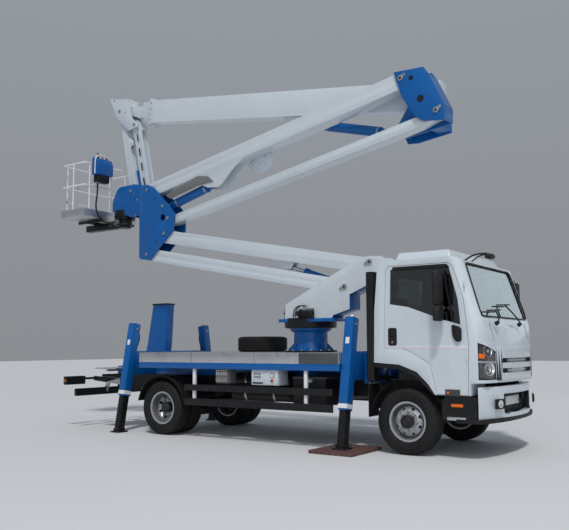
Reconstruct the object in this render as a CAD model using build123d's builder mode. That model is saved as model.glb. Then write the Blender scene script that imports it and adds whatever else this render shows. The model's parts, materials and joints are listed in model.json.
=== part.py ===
from build123d import *

import os
from math import atan, cos, hypot, radians, sin, sqrt, tan

# Cherry picker truck: a two-axle cab-over truck with four outriggers, a slewing turret, a two-stage
# parallelogram arm, a telescopic boom, a hanging jib and a turning basket. Millimetres, x forward,
# y to the left, z up, on the ground. Positions along the truck are counted from the front axle.

FRONT_AXLE_X = 3303
WHEELBASE = 4360
REAR_AXLE = -WHEELBASE
GAP = 6
WALL = 40
PIN_R = 35
PIN_PLAY = 1

# Wheels and tyres
TYRE_R = 433.5
TYRE_W = 262
RIM_R = 252
FRONT_TYRE_Y = 897
DUAL_PITCH = 300
KINGPIN_Y = 790
STUDS = 8

# Chassis
RAIL_Y = 430
RAIL_FLANGE = 80
RAIL_SHEET = 8
RAIL_LOW = 700
RAIL_TOP = 950
RAIL_FRONT = 1040
RAIL_REAR = REAR_AXLE - 1790
SUB_TOP = 1080
SUB_W = 80
BODY_HALF = 1150
REAR_TYRE_Y = BODY_HALF - TYRE_W / 2 - 31

# Deck
DECK_REAR = REAR_AXLE - 490
DECK_FRONT = -945
DECK_EDGE_LOW = 1175
DECK_TOP = 1333
DECK_SHEET = 16
EDGE_BEAM_W = 40

# Outriggers: the legs lean outwards as they go down
LEG_X = (-870, REAR_AXLE - 870)
LEG_TOP_Y = BODY_HALF - 250
LEG_TOP_Z = 1820
LEG_FOOT_Y = BODY_HALF + 70
HOUSING_W = 136
HOUSING_D = 158
HOUSING_WALL = 8
HOUSING_LOW_Z = (530, 580)
LEG_PLAY = 6
FOOT_W = 220
FOOT_T = 22
PAD_L = 680
PAD_W = 850
PAD_T = 40

# Slewing column
SLEW_X = -2150
COLUMN_R = 270
SLEW_R = 400
PEDESTAL_TOP = 1705
SLEW_TOP = 1795
TURRET_LOW = 1801

# Parallelogram arms, all between two plates on the right of the slewing axis
PANTO_Y = -195
PLATE_HALF = 165
PLATE_T = 25
ARM_HALF = 132
PIN_A = (-866, 2670)
STAGE_1 = (-4220, 812)
OFFSET_1 = (-436, -352)
KNUCKLE_RISE = (-459, 863)
STAGE_2 = (5245, 1030)
OFFSET_2 = (547, -590)
LUG_HALF = 72
HEAD_T_PIN = 8
LINK_SLOT_HALF = LUG_HALF + HEAD_T_PIN + GAP

# Telescopic boom, beside the arms
BOOM_Y = 170
BOOM_W = 260
BOOM_PIN = (310, -374)
BOOM_DIR = (-9895, 1444)
BOOM_LEN = 6030
BOOM_LOW = -60
BOOM_HIGH = 384
BOOM_SHEET = 12
INNER_PLAY = 8
TIP_REACH = 6432
TIP_RISE = 172

# Jib and basket
JIB_TOP_OFF = (-430, 90)
JIB_OFFSET = (430, -350)
JIB_DROP = (370, -1690)
ROTATOR_OFF = -370
BASKET_L = 700
BASKET_HALF = 700
FLOOR_OFF = -2090
BASKET_H = 1095
FLOOR_T = 25
TREAD_T = 2
SEAM = 1
RAIL_D = 34
POST_D = 30
HOSE_D = 32


def shifted(point, offset):
    """Point moved by an offset, both as (x, height)."""
    return (point[0] + offset[0], point[1] + offset[1])


PIN_B = shifted(PIN_A, OFFSET_1)
PIN_C = shifted(PIN_A, STAGE_1)
PIN_D = shifted(PIN_C, OFFSET_1)
PIN_E = shifted(PIN_C, KNUCKLE_RISE)
PIN_F = shifted(PIN_E, OFFSET_2)
PIN_G = shifted(PIN_E, STAGE_2)
PIN_H = shifted(PIN_G, OFFSET_2)
PIN_J = shifted(PIN_G, BOOM_PIN)
BOOM_RUN = hypot(*BOOM_DIR)
TIP = (
    PIN_J[0] + (TIP_REACH * BOOM_DIR[0] + TIP_RISE * BOOM_DIR[1]) / BOOM_RUN,
    PIN_J[1] + (TIP_REACH * BOOM_DIR[1] - TIP_RISE * BOOM_DIR[0]) / BOOM_RUN,
)
JIB_TOP = shifted(TIP, JIB_TOP_OFF)
JIB_LOW = shifted(JIB_TOP, JIB_OFFSET)
JIB_END_TOP = shifted(JIB_TOP, JIB_DROP)
JIB_END_LOW = shifted(JIB_LOW, JIB_DROP)
ROTATOR_X = TIP[0] + ROTATOR_OFF
BASKET_FRONT = ROTATOR_X - 410
BASKET_REAR = BASKET_FRONT - BASKET_L
BASKET_FLOOR = TIP[1] + FLOOR_OFF
BASKET_TOP = BASKET_FLOOR + BASKET_H


def from_tip(*offsets):
    """Points (x, height) at these offsets from the boom's tip."""
    return [shifted(TIP, offset) for offset in offsets]


def side(y):
    """Plane across the truck's width, drawn with x from the front axle and height, growing to -y."""
    return Plane(origin=(FRONT_AXLE_X, y, 0), x_dir=(1, 0, 0), z_dir=(0, -1, 0))


def level(z):
    """Horizontal plane at a height, drawn with x from the front axle and y."""
    return Plane(origin=(FRONT_AXLE_X, 0, z))


def across(x):
    """Plane across the truck's length, drawn with y and height, growing forwards."""
    return Plane(origin=(FRONT_AXLE_X + x, 0, 0), x_dir=(0, 1, 0), z_dir=(1, 0, 0))


def arm_plane(start, end, y):
    """Plane of an arm: origin at its first pin, x towards the second, seen from the right side."""
    return Plane(
        origin=(FRONT_AXLE_X + start[0], y, start[1]),
        x_dir=(end[0] - start[0], 0, end[1] - start[1]),
        z_dir=(0, -1, 0),
    )


def on_boom(s, h):
    """Point (x, height) at a distance s from the boom's pin along the boom and h above that line."""
    length = hypot(*BOOM_DIR)
    ux, uz = BOOM_DIR[0] / length, BOOM_DIR[1] / length
    return (PIN_J[0] + s * ux + h * uz, PIN_J[1] + s * uz - h * ux)


def on_arm(start, end, s, h):
    """Point (x, height) at a distance s from the first pin along an arm and h above that line."""
    length = hypot(end[0] - start[0], end[1] - start[1])
    ux, uz = (end[0] - start[0]) / length, (end[1] - start[1]) / length
    up = 1 if ux > 0 else -1
    return (start[0] + s * ux - up * h * uz, start[1] + s * uz + up * h * ux)


def save(part, name):
    """Label a finished piece and write it."""
    part.label = name
    export_step(part, f"parts/{name}.step")


os.makedirs("parts", exist_ok=True)

# Chassis ladder frame: two channels, cross members and the rear tow jaw
CROSS_MEMBERS = (985, -1150, -2600, REAR_AXLE + 800, REAR_AXLE - 1040, RAIL_REAR + 40)
TOW_PIN_X = RAIL_REAR - 85
TOW_PIN_R = 21
with BuildPart() as chassis_frame:
    with BuildSketch(across(RAIL_REAR)):
        for hand in (1, -1):
            with BuildLine():
                Polyline(
                    (hand * RAIL_Y, RAIL_LOW),
                    (hand * RAIL_Y, RAIL_TOP),
                    (hand * (RAIL_Y - RAIL_FLANGE), RAIL_TOP),
                    (hand * (RAIL_Y - RAIL_FLANGE), RAIL_TOP - RAIL_SHEET),
                    (hand * (RAIL_Y - RAIL_SHEET), RAIL_TOP - RAIL_SHEET),
                    (hand * (RAIL_Y - RAIL_SHEET), RAIL_LOW + RAIL_SHEET),
                    (hand * (RAIL_Y - RAIL_FLANGE), RAIL_LOW + RAIL_SHEET),
                    (hand * (RAIL_Y - RAIL_FLANGE), RAIL_LOW),
                    close=True,
                )
            make_face()
    extrude(amount=RAIL_FRONT - RAIL_REAR)
    for x in CROSS_MEMBERS:
        with BuildSketch(across(x - 30)):
            with Locations((0, (RAIL_LOW + RAIL_TOP) / 2)):
                Rectangle(2 * (RAIL_Y - RAIL_SHEET / 2), 130)
        extrude(amount=60)
    with BuildSketch(level(780)):
        with Locations(((TOW_PIN_X + RAIL_REAR) / 2, 0)):
            Rectangle(abs(TOW_PIN_X - RAIL_REAR) + 110, 120)
    extrude(amount=100)
    with BuildSketch(level(800)):
        with Locations((TOW_PIN_X - 10, 0)):
            Rectangle(110, 130)
    extrude(amount=60, mode=Mode.SUBTRACT)
    with BuildSketch(level(770)):
        with Locations((TOW_PIN_X, 0)):
            Circle(TOW_PIN_R)
    extrude(amount=120, mode=Mode.SUBTRACT)
save(chassis_frame.part, "chassis_frame")


def leg_lean():
    """Outward shift of a leg for each millimetre that it goes down."""
    return (LEG_FOOT_Y - LEG_TOP_Y) / LEG_TOP_Z


def leg_plane(x, hand, z):
    """Plane square to a leg at a height, growing downwards along the leg."""
    y = hand * (LEG_TOP_Y + (LEG_TOP_Z - z) * leg_lean())
    return Plane(
        origin=(FRONT_AXLE_X + x, y, z), x_dir=(1, 0, 0), z_dir=(0, hand * leg_lean(), -1)
    )


# Blue subframe: two long bars, cross bearers, edge beams and the four outrigger housings
BEARER_COUNT = 5
BEARER_FRONT = DECK_FRONT - 355
BEARER_STEP = (DECK_REAR + 150 - BEARER_FRONT) / (BEARER_COUNT - 1)
BEARERS = [BEARER_FRONT + i * BEARER_STEP for i in range(BEARER_COUNT)]
with BuildPart() as subframe:
    with BuildSketch(level(RAIL_TOP)):
        with Locations(
            ((RAIL_REAR - 560) / 2, RAIL_Y - SUB_W / 2), ((RAIL_REAR - 560) / 2, SUB_W / 2 - RAIL_Y)
        ):
            Rectangle(-560 - RAIL_REAR, SUB_W)
    extrude(amount=SUB_TOP - RAIL_TOP)
    with BuildSketch(level(SUB_TOP)):
        for hand in (1, -1):
            with Locations(((DECK_REAR + DECK_FRONT) / 2, hand * (BODY_HALF - EDGE_BEAM_W / 2))):
                Rectangle(DECK_FRONT - DECK_REAR, EDGE_BEAM_W)
        for x in BEARERS:
            with Locations((x, 0)):
                Rectangle(60, 2 * BODY_HALF - EDGE_BEAM_W)
    extrude(amount=DECK_EDGE_LOW - SUB_TOP)
    for x in LEG_X:
        with BuildSketch(across(x - HOUSING_W / 2 + 4)):
            with BuildLine():
                Polyline(
                    (-LEG_TOP_Y - 80, RAIL_TOP),
                    (LEG_TOP_Y + 80, RAIL_TOP),
                    (LEG_TOP_Y + 20, DECK_TOP + 20),
                    (-LEG_TOP_Y - 20, DECK_TOP + 20),
                    close=True,
                )
            make_face()
        extrude(amount=HOUSING_W - 8)
        for hand in (1, -1):
            with BuildSketch(leg_plane(x, hand, LEG_TOP_Z)):
                Rectangle(HOUSING_W, HOUSING_D)
            extrude(amount=LEG_TOP_Z - HOUSING_LOW_Z[LEG_X.index(x)])
            with BuildSketch(leg_plane(x, hand, LEG_TOP_Z - 12)):
                Rectangle(HOUSING_W - 2 * HOUSING_WALL, HOUSING_D - 2 * HOUSING_WALL)
            extrude(amount=LEG_TOP_Z, mode=Mode.SUBTRACT)
save(subframe.part, "subframe")

# Sliding legs with their feet; the front feet stand on square ground pads
LEG_TABLE = (("leg_front_left", 0, 1), ("leg_front_right", 0, -1), ("leg_rear_left", 1, 1), ("leg_rear_right", 1, -1))
for name, axle, hand in LEG_TABLE:
    ground = PAD_T if axle == 0 else 0
    with BuildPart() as leg:
        with BuildSketch(leg_plane(LEG_X[axle], hand, LEG_TOP_Z - 520)):
            Rectangle(
                HOUSING_W - 2 * HOUSING_WALL - 2 * LEG_PLAY, HOUSING_D - 2 * HOUSING_WALL - 2 * LEG_PLAY
            )
        extrude(amount=LEG_TOP_Z - 520 - ground - FOOT_T)
        with BuildSketch(level(ground)):
            with Locations((LEG_X[axle], hand * (LEG_FOOT_Y - 6))):
                RectangleRounded(FOOT_W, FOOT_W, 20)
        extrude(amount=FOOT_T, taper=10)
        with BuildSketch(level(ground + FOOT_T - 2)):
            with Locations((LEG_X[axle], hand * (LEG_FOOT_Y - 8))):
                Rectangle(130, 150)
        extrude(amount=46)
        if axle == 0:
            with BuildSketch(level(0)):
                with Locations((LEG_X[0], hand * (LEG_FOOT_Y - 90))):
                    RectangleRounded(PAD_L, PAD_W, 30)
            extrude(amount=PAD_T + 1)
    save(leg.part, name)

# Aluminium deck: a floor sheet with deep edge boards all round
with BuildPart() as deck:
    with BuildSketch(level(DECK_TOP - DECK_SHEET)):
        with Locations(((DECK_REAR + DECK_FRONT) / 2, 0)):
            Rectangle(DECK_FRONT - DECK_REAR, 2 * BODY_HALF)
    extrude(amount=DECK_SHEET)
    with BuildSketch(level(DECK_EDGE_LOW)):
        with Locations(((DECK_REAR + DECK_FRONT) / 2, 0)):
            Rectangle(DECK_FRONT - DECK_REAR, 2 * BODY_HALF)
            Rectangle(DECK_FRONT - DECK_REAR - 50, 2 * BODY_HALF - 50, mode=Mode.SUBTRACT)
    extrude(amount=DECK_TOP - DECK_EDGE_LOW)
    with BuildSketch(level(DECK_EDGE_LOW)):
        for x in BEARERS:
            with Locations((x, 0)):
                Rectangle(50, 2 * BODY_HALF - 40)
    extrude(amount=DECK_TOP - DECK_EDGE_LOW)
save(deck.part, "deck")

# Pedestal and fixed half of the slewing ring, turned about the slewing axis, with welded gussets
GUSSETS = 8
with BuildPart() as pedestal:
    slew_side = Plane(origin=(FRONT_AXLE_X + SLEW_X, 0, 0), x_dir=(1, 0, 0), z_dir=(0, -1, 0))
    with BuildSketch(slew_side):
        with BuildLine():
            Polyline(
                (0, DECK_TOP),
                (SLEW_R + 20, DECK_TOP),
                (SLEW_R + 20, DECK_TOP + 25),
                (COLUMN_R + 20, DECK_TOP + 25),
                (COLUMN_R, DECK_TOP + 160),
                (COLUMN_R, PEDESTAL_TOP - 60),
                (COLUMN_R + 60, PEDESTAL_TOP - 25),
                (COLUMN_R + 60, PEDESTAL_TOP),
                (SLEW_R - 20, PEDESTAL_TOP + 6),
                (SLEW_R, PEDESTAL_TOP + 24),
                (SLEW_R, SLEW_TOP),
                (0, SLEW_TOP),
                close=True,
            )
        make_face()
    revolve(axis=Axis((FRONT_AXLE_X + SLEW_X, 0, 0), (0, 0, 1)))
    for i in range(GUSSETS):
        turn = radians(360 / GUSSETS * (i + 0.5))
        gusset = Plane(
            origin=(FRONT_AXLE_X + SLEW_X, 0, 0),
            x_dir=(cos(turn), sin(turn), 0),
            z_dir=(sin(turn), -cos(turn), 0),
        )
        with BuildSketch(gusset):
            with BuildLine():
                Polyline(
                    (COLUMN_R - 20, DECK_TOP + 20),
                    (SLEW_R - 10, DECK_TOP + 20),
                    (COLUMN_R - 2, DECK_TOP + 150),
                    (COLUMN_R - 20, DECK_TOP + 150),
                    close=True,
                )
            make_face()
        extrude(amount=8, both=True)
save(pedestal.part, "pedestal")

# Axles: a dropped front beam and a rear axle with its differential, each on leaf springs
SPRING_TOP = RAIL_LOW
with BuildPart() as axles:
    with BuildSketch(side(0)):
        with Locations((0, TYRE_R - 60)):
            Rectangle(90, 90)
    extrude(amount=560, both=True)
    for hand in (1, -1):
        with BuildSketch(side(hand * 590 + 60)):
            with Locations((0, TYRE_R - 30)):
                Rectangle(90, 110)
        extrude(amount=120)
        with BuildSketch(side(hand * 700 + 100)):
            with Locations((0, TYRE_R)):
                Rectangle(90, 100)
        extrude(amount=200)
        with BuildSketch(level(TYRE_R - 50)):
            with Locations((0, hand * KINGPIN_Y)):
                Circle(50)
        extrude(amount=100)
        for axle, drop, leaf in ((0, TYRE_R - 15, 620), (REAR_AXLE, TYRE_R + 75, 700)):
            with BuildSketch(side(hand * 390 + 35)):
                with BuildLine():
                    Polyline(
                        (axle - leaf, SPRING_TOP - 20),
                        (axle - leaf + 40, SPRING_TOP - 70),
                        (axle - 90, drop),
                        (axle + 90, drop),
                        (axle + leaf - 40, SPRING_TOP - 70),
                        (axle + leaf, SPRING_TOP - 20),
                        (axle + 90, drop + 60),
                        (axle - 90, drop + 60),
                        close=True,
                    )
                make_face()
            extrude(amount=70)
            for end in (-leaf + 20, leaf - 20):
                with BuildSketch(side(hand * 390 + 35)):
                    with Locations((axle + end, SPRING_TOP - 30)):
                        Rectangle(60, 60)
                extrude(amount=70)
    with BuildSketch(side(0)):
        with Locations((REAR_AXLE, TYRE_R)):
            Circle(80)
    extrude(amount=REAR_TYRE_Y - 100, both=True)
    with BuildSketch(side(0)):
        with Locations((REAR_AXLE, TYRE_R)):
            Circle(185)
    extrude(amount=130, both=True)
save(axles.part, "axles")

# Engine block, gearbox and propeller shaft, plain, between the rails
SHAFT_FRONT = -880
with BuildPart() as engine:
    with BuildSketch(side(0)):
        with BuildLine():
            Polyline(
                (-330, 620), (600, 620), (600, 1040), (540, 1120), (-250, 1120), (-330, 1040), close=True
            )
        make_face()
    extrude(amount=290, both=True)
    with BuildSketch(across(-330)):
        with Locations((0, 790)):
            Circle(150)
    extrude(amount=-560)
    shaft_run = SHAFT_FRONT - REAR_AXLE - 190
    shaft_drop = Plane(origin=(FRONT_AXLE_X + SHAFT_FRONT, 0, 690), x_dir=(0, 1, 0), z_dir=(-shaft_run, 0, -215))
    with BuildSketch(shaft_drop):
        Circle(45)
    extrude(amount=shaft_run - 2)
save(engine.part, "engine")

# Fuel tank, battery box, air tanks and the air intake behind the cab
with BuildPart() as tanks:
    with BuildSketch(across(-2480)):
        with Locations(((RAIL_Y + BODY_HALF - 60) / 2, 790)):
            RectangleRounded(BODY_HALF - RAIL_Y - 200, 420, 70)
    extrude(amount=1150)
    with BuildSketch(across(-1820)):
        with Locations(((100 - RAIL_Y - BODY_HALF) / 2, 780)):
            RectangleRounded(BODY_HALF - RAIL_Y - 220, 400, 15)
    extrude(amount=560)
    for y, z in ((-640, 700), (-640, 930)):
        with BuildSketch(across(-3180)):
            with Locations((y, z - 15)):
                Circle(105)
        extrude(amount=1120)
    with BuildSketch(across(-2500)):
        with Locations((-RAIL_Y - 75, 790)):
            Rectangle(150, 40)
    extrude(amount=60)
    with BuildSketch(level(960)):
        with Locations((-545, -905)):
            RectangleRounded(110, 170, 25)
    extrude(amount=1490)
    with BuildSketch(level(960)):
        with Locations((-545, -RAIL_Y - 200)):
            Rectangle(60, 400)
    extrude(amount=50)
save(tanks.part, "tanks_and_intake")

# Side guards: two rails and two posts on each side, hung under the deck's edge
GUARD_REAR = REAR_AXLE + 540
GUARD_FRONT = LEG_X[0] - 190
GUARD_POSTS = (GUARD_REAR + 180, GUARD_FRONT - 460)
GUARD_RAILS = ((507, 615), (736, 832))
with BuildPart() as side_guards:
    for hand in (1, -1):
        for low, high in GUARD_RAILS:
            with BuildSketch(side(hand * (BODY_HALF - 15) + 15)):
                with Locations(((GUARD_REAR + GUARD_FRONT) / 2, (low + high) / 2)):
                    Rectangle(GUARD_FRONT - GUARD_REAR, high - low)
            extrude(amount=30)
        for x in GUARD_POSTS:
            with BuildSketch(side(hand * (BODY_HALF - 45) + 20)):
                with Locations((x, (GUARD_RAILS[0][0] + SUB_TOP) / 2)):
                    Rectangle(50, SUB_TOP - GUARD_RAILS[0][0])
            extrude(amount=40)
save(side_guards.part, "side_guards")

# Ground control cabinet and the valve bank beside it, under the right edge of the deck
with BuildPart() as controls:
    with BuildSketch(level(854)):
        with Locations((-2245, 160 - BODY_HALF)):
            Rectangle(490, 260)
    extrude(amount=SUB_TOP - 854)
    with BuildSketch(level(863)):
        with Locations((-3070, 140 - BODY_HALF)):
            Rectangle(240, 200)
    extrude(amount=SUB_TOP - 863)
save(controls.part, "control_cabinet")

# Mudguards over the rear tyres, liners behind the front tyres and the black entry steps
ARCH_R = 520
with BuildPart() as mudguards:
    for hand in (1, -1):
        with BuildSketch(side(hand * (REAR_TYRE_Y - 150) + 300)):
            with Locations((REAR_AXLE, TYRE_R)):
                Circle(ARCH_R)
                Circle(ARCH_R - 8, mode=Mode.SUBTRACT)
            with Locations((REAR_AXLE, TYRE_R - 400)):
                Rectangle(1200, 1000, mode=Mode.SUBTRACT)
        extrude(amount=600)
        with BuildSketch(level(TYRE_R + ARCH_R - 30)):
            with Locations((REAR_AXLE, hand * (RAIL_Y + 60))):
                Rectangle(60, 120)
        extrude(amount=24)
        with BuildSketch(side(hand * 880 + 140)):
            with Locations((0, TYRE_R)):
                Circle(ARCH_R + 20)
                Circle(ARCH_R + 12, mode=Mode.SUBTRACT)
            with Locations((300, TYRE_R), (0, TYRE_R - 460)):
                Rectangle(1200, 1200, mode=Mode.SUBTRACT)
        extrude(amount=280)
        with BuildSketch(side(hand * 890 + 145)):
            with BuildLine():
                Polyline((505, 495), (970, 495), (970, 785), (560, 785), (505, 700), close=True)
            make_face()
        extrude(amount=290)
        with BuildSketch(side(hand * 590 + 160)):
            with Locations((760, 730)):
                Rectangle(120, 50)
        extrude(amount=320)
save(mudguards.part, "mudguards")

# Rest for the folded boom, a leaning tapered post on the rear overhang
REST_X = RAIL_REAR + 400
REST_TOP = 2211
with BuildPart() as boom_rest:
    with BuildSketch(level(SUB_TOP)):
        with Locations((REST_X, 0)):
            Rectangle(560, 2 * RAIL_Y)
    extrude(amount=20)
    with BuildSketch(side(BOOM_Y + 90)):
        with BuildLine():
            Polyline(
                (REST_X - 250, SUB_TOP + 10), (REST_X + 260, SUB_TOP + 10), (REST_X + 310, 1500),
                (REST_X + 350, REST_TOP), (REST_X - 22, REST_TOP), (REST_X - 150, 1500), close=True,
            )
        make_face()
    extrude(amount=180)
    with BuildSketch(level(REST_TOP)):
        with Locations((REST_X + 165, BOOM_Y)):
            RectangleRounded(390, 230, 20)
    extrude(amount=28)
save(boom_rest.part, "boom_rest")

# Rear end: lamp clusters on a thin bar, underrun bar and the aluminium step plates
LAMP_BAR_X = RAIL_REAR - 640
STEP_X = RAIL_REAR + 350
with BuildPart() as rear_bumper:
    for hand in (1, -1):
        with BuildSketch(across(LAMP_BAR_X)):
            with Locations((hand * (BODY_HALF - 215), 820)):
                RectangleRounded(430, 150, 15)
        extrude(amount=90)
        with BuildSketch(side(hand * (RAIL_Y + 15) + 15)):
            with BuildLine():
                Polyline(
                    (LAMP_BAR_X + 10, 800), (RAIL_REAR + 90, 740), (RAIL_REAR + 90, 860),
                    (LAMP_BAR_X + 70, 880), (LAMP_BAR_X + 10, 880), close=True
                )
            make_face()
            with BuildLine():
                Polyline(
                    (RAIL_REAR - 320, 600), (RAIL_REAR - 260, 600), (RAIL_REAR - 180, 790),
                    (RAIL_REAR - 280, 810), close=True
                )
            make_face()
        extrude(amount=30)
        with BuildSketch(level(1040)):
            with Locations((STEP_X, hand * (BODY_HALF + 350) / 2)):
                Rectangle(540, BODY_HALF - 550)
        extrude(amount=16)
        with BuildSketch(level(1000)):
            with Locations((STEP_X, hand * (RAIL_Y + BODY_HALF - 140) / 2)):
                Rectangle(60, BODY_HALF - 140 - RAIL_Y)
        extrude(amount=42)
    with BuildSketch(across(LAMP_BAR_X + 30)):
        with Locations((0, 845)):
            Rectangle(2 * (BODY_HALF - 400), 40)
    extrude(amount=40)
    with BuildSketch(across(RAIL_REAR - 330)):
        with Locations((0, 620)):
            RectangleRounded(2 * BODY_HALF, 130, 15)
    extrude(amount=60)
save(rear_bumper.part, "rear_bumper")

# Spare wheel lying on the deck
SPARE_X = REAR_AXLE + 910
SPARE_Y = 450


def tyre_profile(bead, radius, width):
    """Draw half a tyre's section in the (radius, width) plane, about its middle plane."""
    half = width / 2
    with BuildLine() as line:
        Polyline(
            (bead, -half + 46), (bead + 15, -half + 46), (bead + 26, -half + 18), (bead + 90, -half), (radius - 40, -half + 8),
            (radius - 8, -half + 26), (radius, -half + 50), (radius, half - 50), (radius - 8, half - 26),
            (radius - 40, half - 8), (bead + 90, half), (bead + 26, half - 18), (bead + 15, half - 46),
            (bead, half - 46),
            close=True,
        )
    make_face(line.edges())


def rim_profile(width, disc, hub, sink):
    """Draw a wheel's section: the well, its two flanges and a disc that starts at a depth."""
    half = width / 2
    well = [(RIM_R - 38, half - 86)] if sink > 86 else []
    with BuildLine() as line:
        Polyline(
            (RIM_R + 12, half - 20), (RIM_R + 12, half - 32), (RIM_R, half - 34), (RIM_R - 26, half - 90),
            (RIM_R - 26, -half + 90), (RIM_R, -half + 34), (RIM_R + 12, -half + 32), (RIM_R + 12, -half + 20),
            (RIM_R - 14, -half + 22), (RIM_R - 38, -half + 86), (RIM_R - 38, half - sink - 30),
            (hub + 60, disc - 12), (hub, disc - 12), (hub - 30, disc - 12), (hub - 30, disc), (hub, disc),
            (hub + 60, disc), (RIM_R - 38, half - sink), *well, (RIM_R - 14, half - 22),
            close=True,
        )
    make_face(line.edges())


def wheel_plane(x, y, z, hand):
    """Plane through a wheel's middle: local x is the radius, local y points outwards."""
    return Plane(origin=(FRONT_AXLE_X + x, y, z), x_dir=(1, 0, 0), z_dir=(0, 0, hand))


def spin_axis(x, z):
    """Axle line at a place along the truck."""
    return Axis((FRONT_AXLE_X + x, 0, z), (0, 1, 0))


with BuildPart() as spare:
    lying = Plane(origin=(FRONT_AXLE_X + SPARE_X, SPARE_Y, DECK_TOP + TYRE_W / 2), x_dir=(1, 0, 0), z_dir=(0, -1, 0))
    with BuildSketch(lying):
        tyre_profile(RIM_R, TYRE_R, TYRE_W)
    with BuildSketch(lying):
        rim_profile(TYRE_W - 20, 60, 80, 86)
    revolve(axis=Axis((FRONT_AXLE_X + SPARE_X, SPARE_Y, 0), (0, 0, 1)))
save(spare.part, "spare_wheel")

# Wheels: name end, place, hand, middle of the tyre, whether twin
WHEEL_TABLE = (
    ("front_left", 0, 1, FRONT_TYRE_Y, False),
    ("front_right", 0, -1, FRONT_TYRE_Y, False),
    ("rear_left", REAR_AXLE, 1, REAR_TYRE_Y, True),
    ("rear_right", REAR_AXLE, -1, REAR_TYRE_Y, True),
)
HAND_HOLES = 8
for name, x, hand, y, twin in WHEEL_TABLE:
    with BuildPart() as tyre:
        for shift in (0, -DUAL_PITCH) if twin else (0,):
            with BuildSketch(wheel_plane(x, hand * (y + shift), TYRE_R, hand)):
                tyre_profile(RIM_R, TYRE_R, TYRE_W)
        revolve(axis=spin_axis(x, TYRE_R))
    save(tyre.part, f"tyre_{name}")
    disc = -70 if twin else 70
    sink = 120 if twin else 86
    with BuildPart() as rim:
        with BuildSketch(wheel_plane(x, hand * y, TYRE_R, hand)):
            rim_profile(TYRE_W - 20, disc, 90, sink)
        revolve(axis=spin_axis(x, TYRE_R))
        if twin:
            with BuildSketch(wheel_plane(x, hand * (y - DUAL_PITCH), TYRE_R, hand)):
                with BuildLine():
                    Polyline(
                        (RIM_R + 12, TYRE_W / 2 - 30), (RIM_R - 26, TYRE_W / 2 - 80), (RIM_R - 26, -TYRE_W / 2 + 80),
                        (RIM_R + 12, -TYRE_W / 2 + 30), (RIM_R - 4, -TYRE_W / 2 + 30), (RIM_R - 38, -TYRE_W / 2 + 80),
                        (RIM_R - 38, TYRE_W / 2 - 80), (130, DUAL_PITCH + disc - 11), (130, DUAL_PITCH + disc - 1),
                        (RIM_R - 20, TYRE_W / 2 - 30), close=True,
                    )
                make_face()
            revolve(axis=spin_axis(x, TYRE_R))
        hub_start = y + disc - (20 if twin else 40)
        with BuildSketch(side(hand * hub_start)):
            with Locations((x, TYRE_R)):
                Circle(88)
        extrude(amount=-hand * (110 if twin else 95))
        outward = Plane(origin=(FRONT_AXLE_X + x, hand * (y + disc - 40), TYRE_R), x_dir=(1, 0, 0), z_dir=(0, hand, 0))
        with BuildSketch(outward):
            with PolarLocations(178, HAND_HOLES, start_angle=22.5):
                Circle(24)
        extrude(amount=90, mode=Mode.SUBTRACT)
        with BuildSketch(outward):
            with PolarLocations(125, STUDS):
                RegularPolygon(17, 6)
        extrude(amount=66)
    save(rim.part, f"wheel_{name}")

# Steering knuckles: two ears round the kingpin boss and a spindle into the hub
for name, hand in (("steering_knuckle_left", 1), ("steering_knuckle_right", -1)):
    with BuildPart() as knuckle:
        for z in (TYRE_R + 56, TYRE_R - 84):
            with BuildSketch(level(z)):
                with Locations((0, hand * KINGPIN_Y)):
                    Circle(48)
                with Locations((0, hand * (KINGPIN_Y + 45))):
                    Rectangle(96, 90)
            extrude(amount=28)
        with BuildSketch(side(hand * (KINGPIN_Y + 62))):
            with Locations((0, TYRE_R)):
                Rectangle(110, 168)
        extrude(amount=-hand * 28)
        with BuildSketch(side(hand * (KINGPIN_Y + 80))):
            with Locations((0, TYRE_R)):
                Circle(32)
        extrude(amount=-hand * (FRONT_TYRE_Y + 20 - KINGPIN_Y - 80))
    save(knuckle.part, name)

# Cab: side outline with the sloping screen, plan outline with a bowed front
CAB_HALF = 1040
CAB_REAR = -456
CAB_FRONT = 1175
CAB_CORNER = 1045
SCREEN_LOW = 1740
SCREEN_RAKE = 0.30
CAB_FLOOR = 955
CAB_ROOF = 2580
TUNNEL_HALF = 500
TUNNEL_TOP = 1220
ROOF_CAP = 2690


def cab_side_outline(inset):
    """Draw the cab's side outline, inset by a wall."""
    with BuildLine() as line:
        Polyline(
            (CAB_REAR, 1204), (CAB_REAR + 16, 1900), (-386, 2490), (-345, 2552), (-270, CAB_ROOF), (660, CAB_ROOF),
            (748, 2562), (800, 2530), (1045, SCREEN_LOW), (1165, 1306), (1175, CAB_FLOOR), (900, CAB_FLOOR),
            (900, 800), (417, 800), (330, 929), (169, 1086), (-83, 1178), close=True,
        )
    make_face(line.edges())
    if inset:
        offset(amount=-inset, kind=Kind.INTERSECTION)


def cab_plan_outline(inset):
    """Draw the cab's plan outline, inset by a wall."""
    with BuildLine() as line:
        Line((-1000, -CAB_HALF), (CAB_CORNER, -CAB_HALF))
        ThreePointArc((CAB_CORNER, -CAB_HALF), (CAB_FRONT, 0), (CAB_CORNER, CAB_HALF))
        Line((CAB_CORNER, CAB_HALF), (-1000, CAB_HALF))
        Line((-1000, CAB_HALF), (-1000, -CAB_HALF))
    make_face(line.edges())
    front_corners = [v for v in vertices() if v.X > 0]
    fillet(front_corners, 220)
    if inset:
        offset(amount=-inset, kind=Kind.INTERSECTION)


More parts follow.
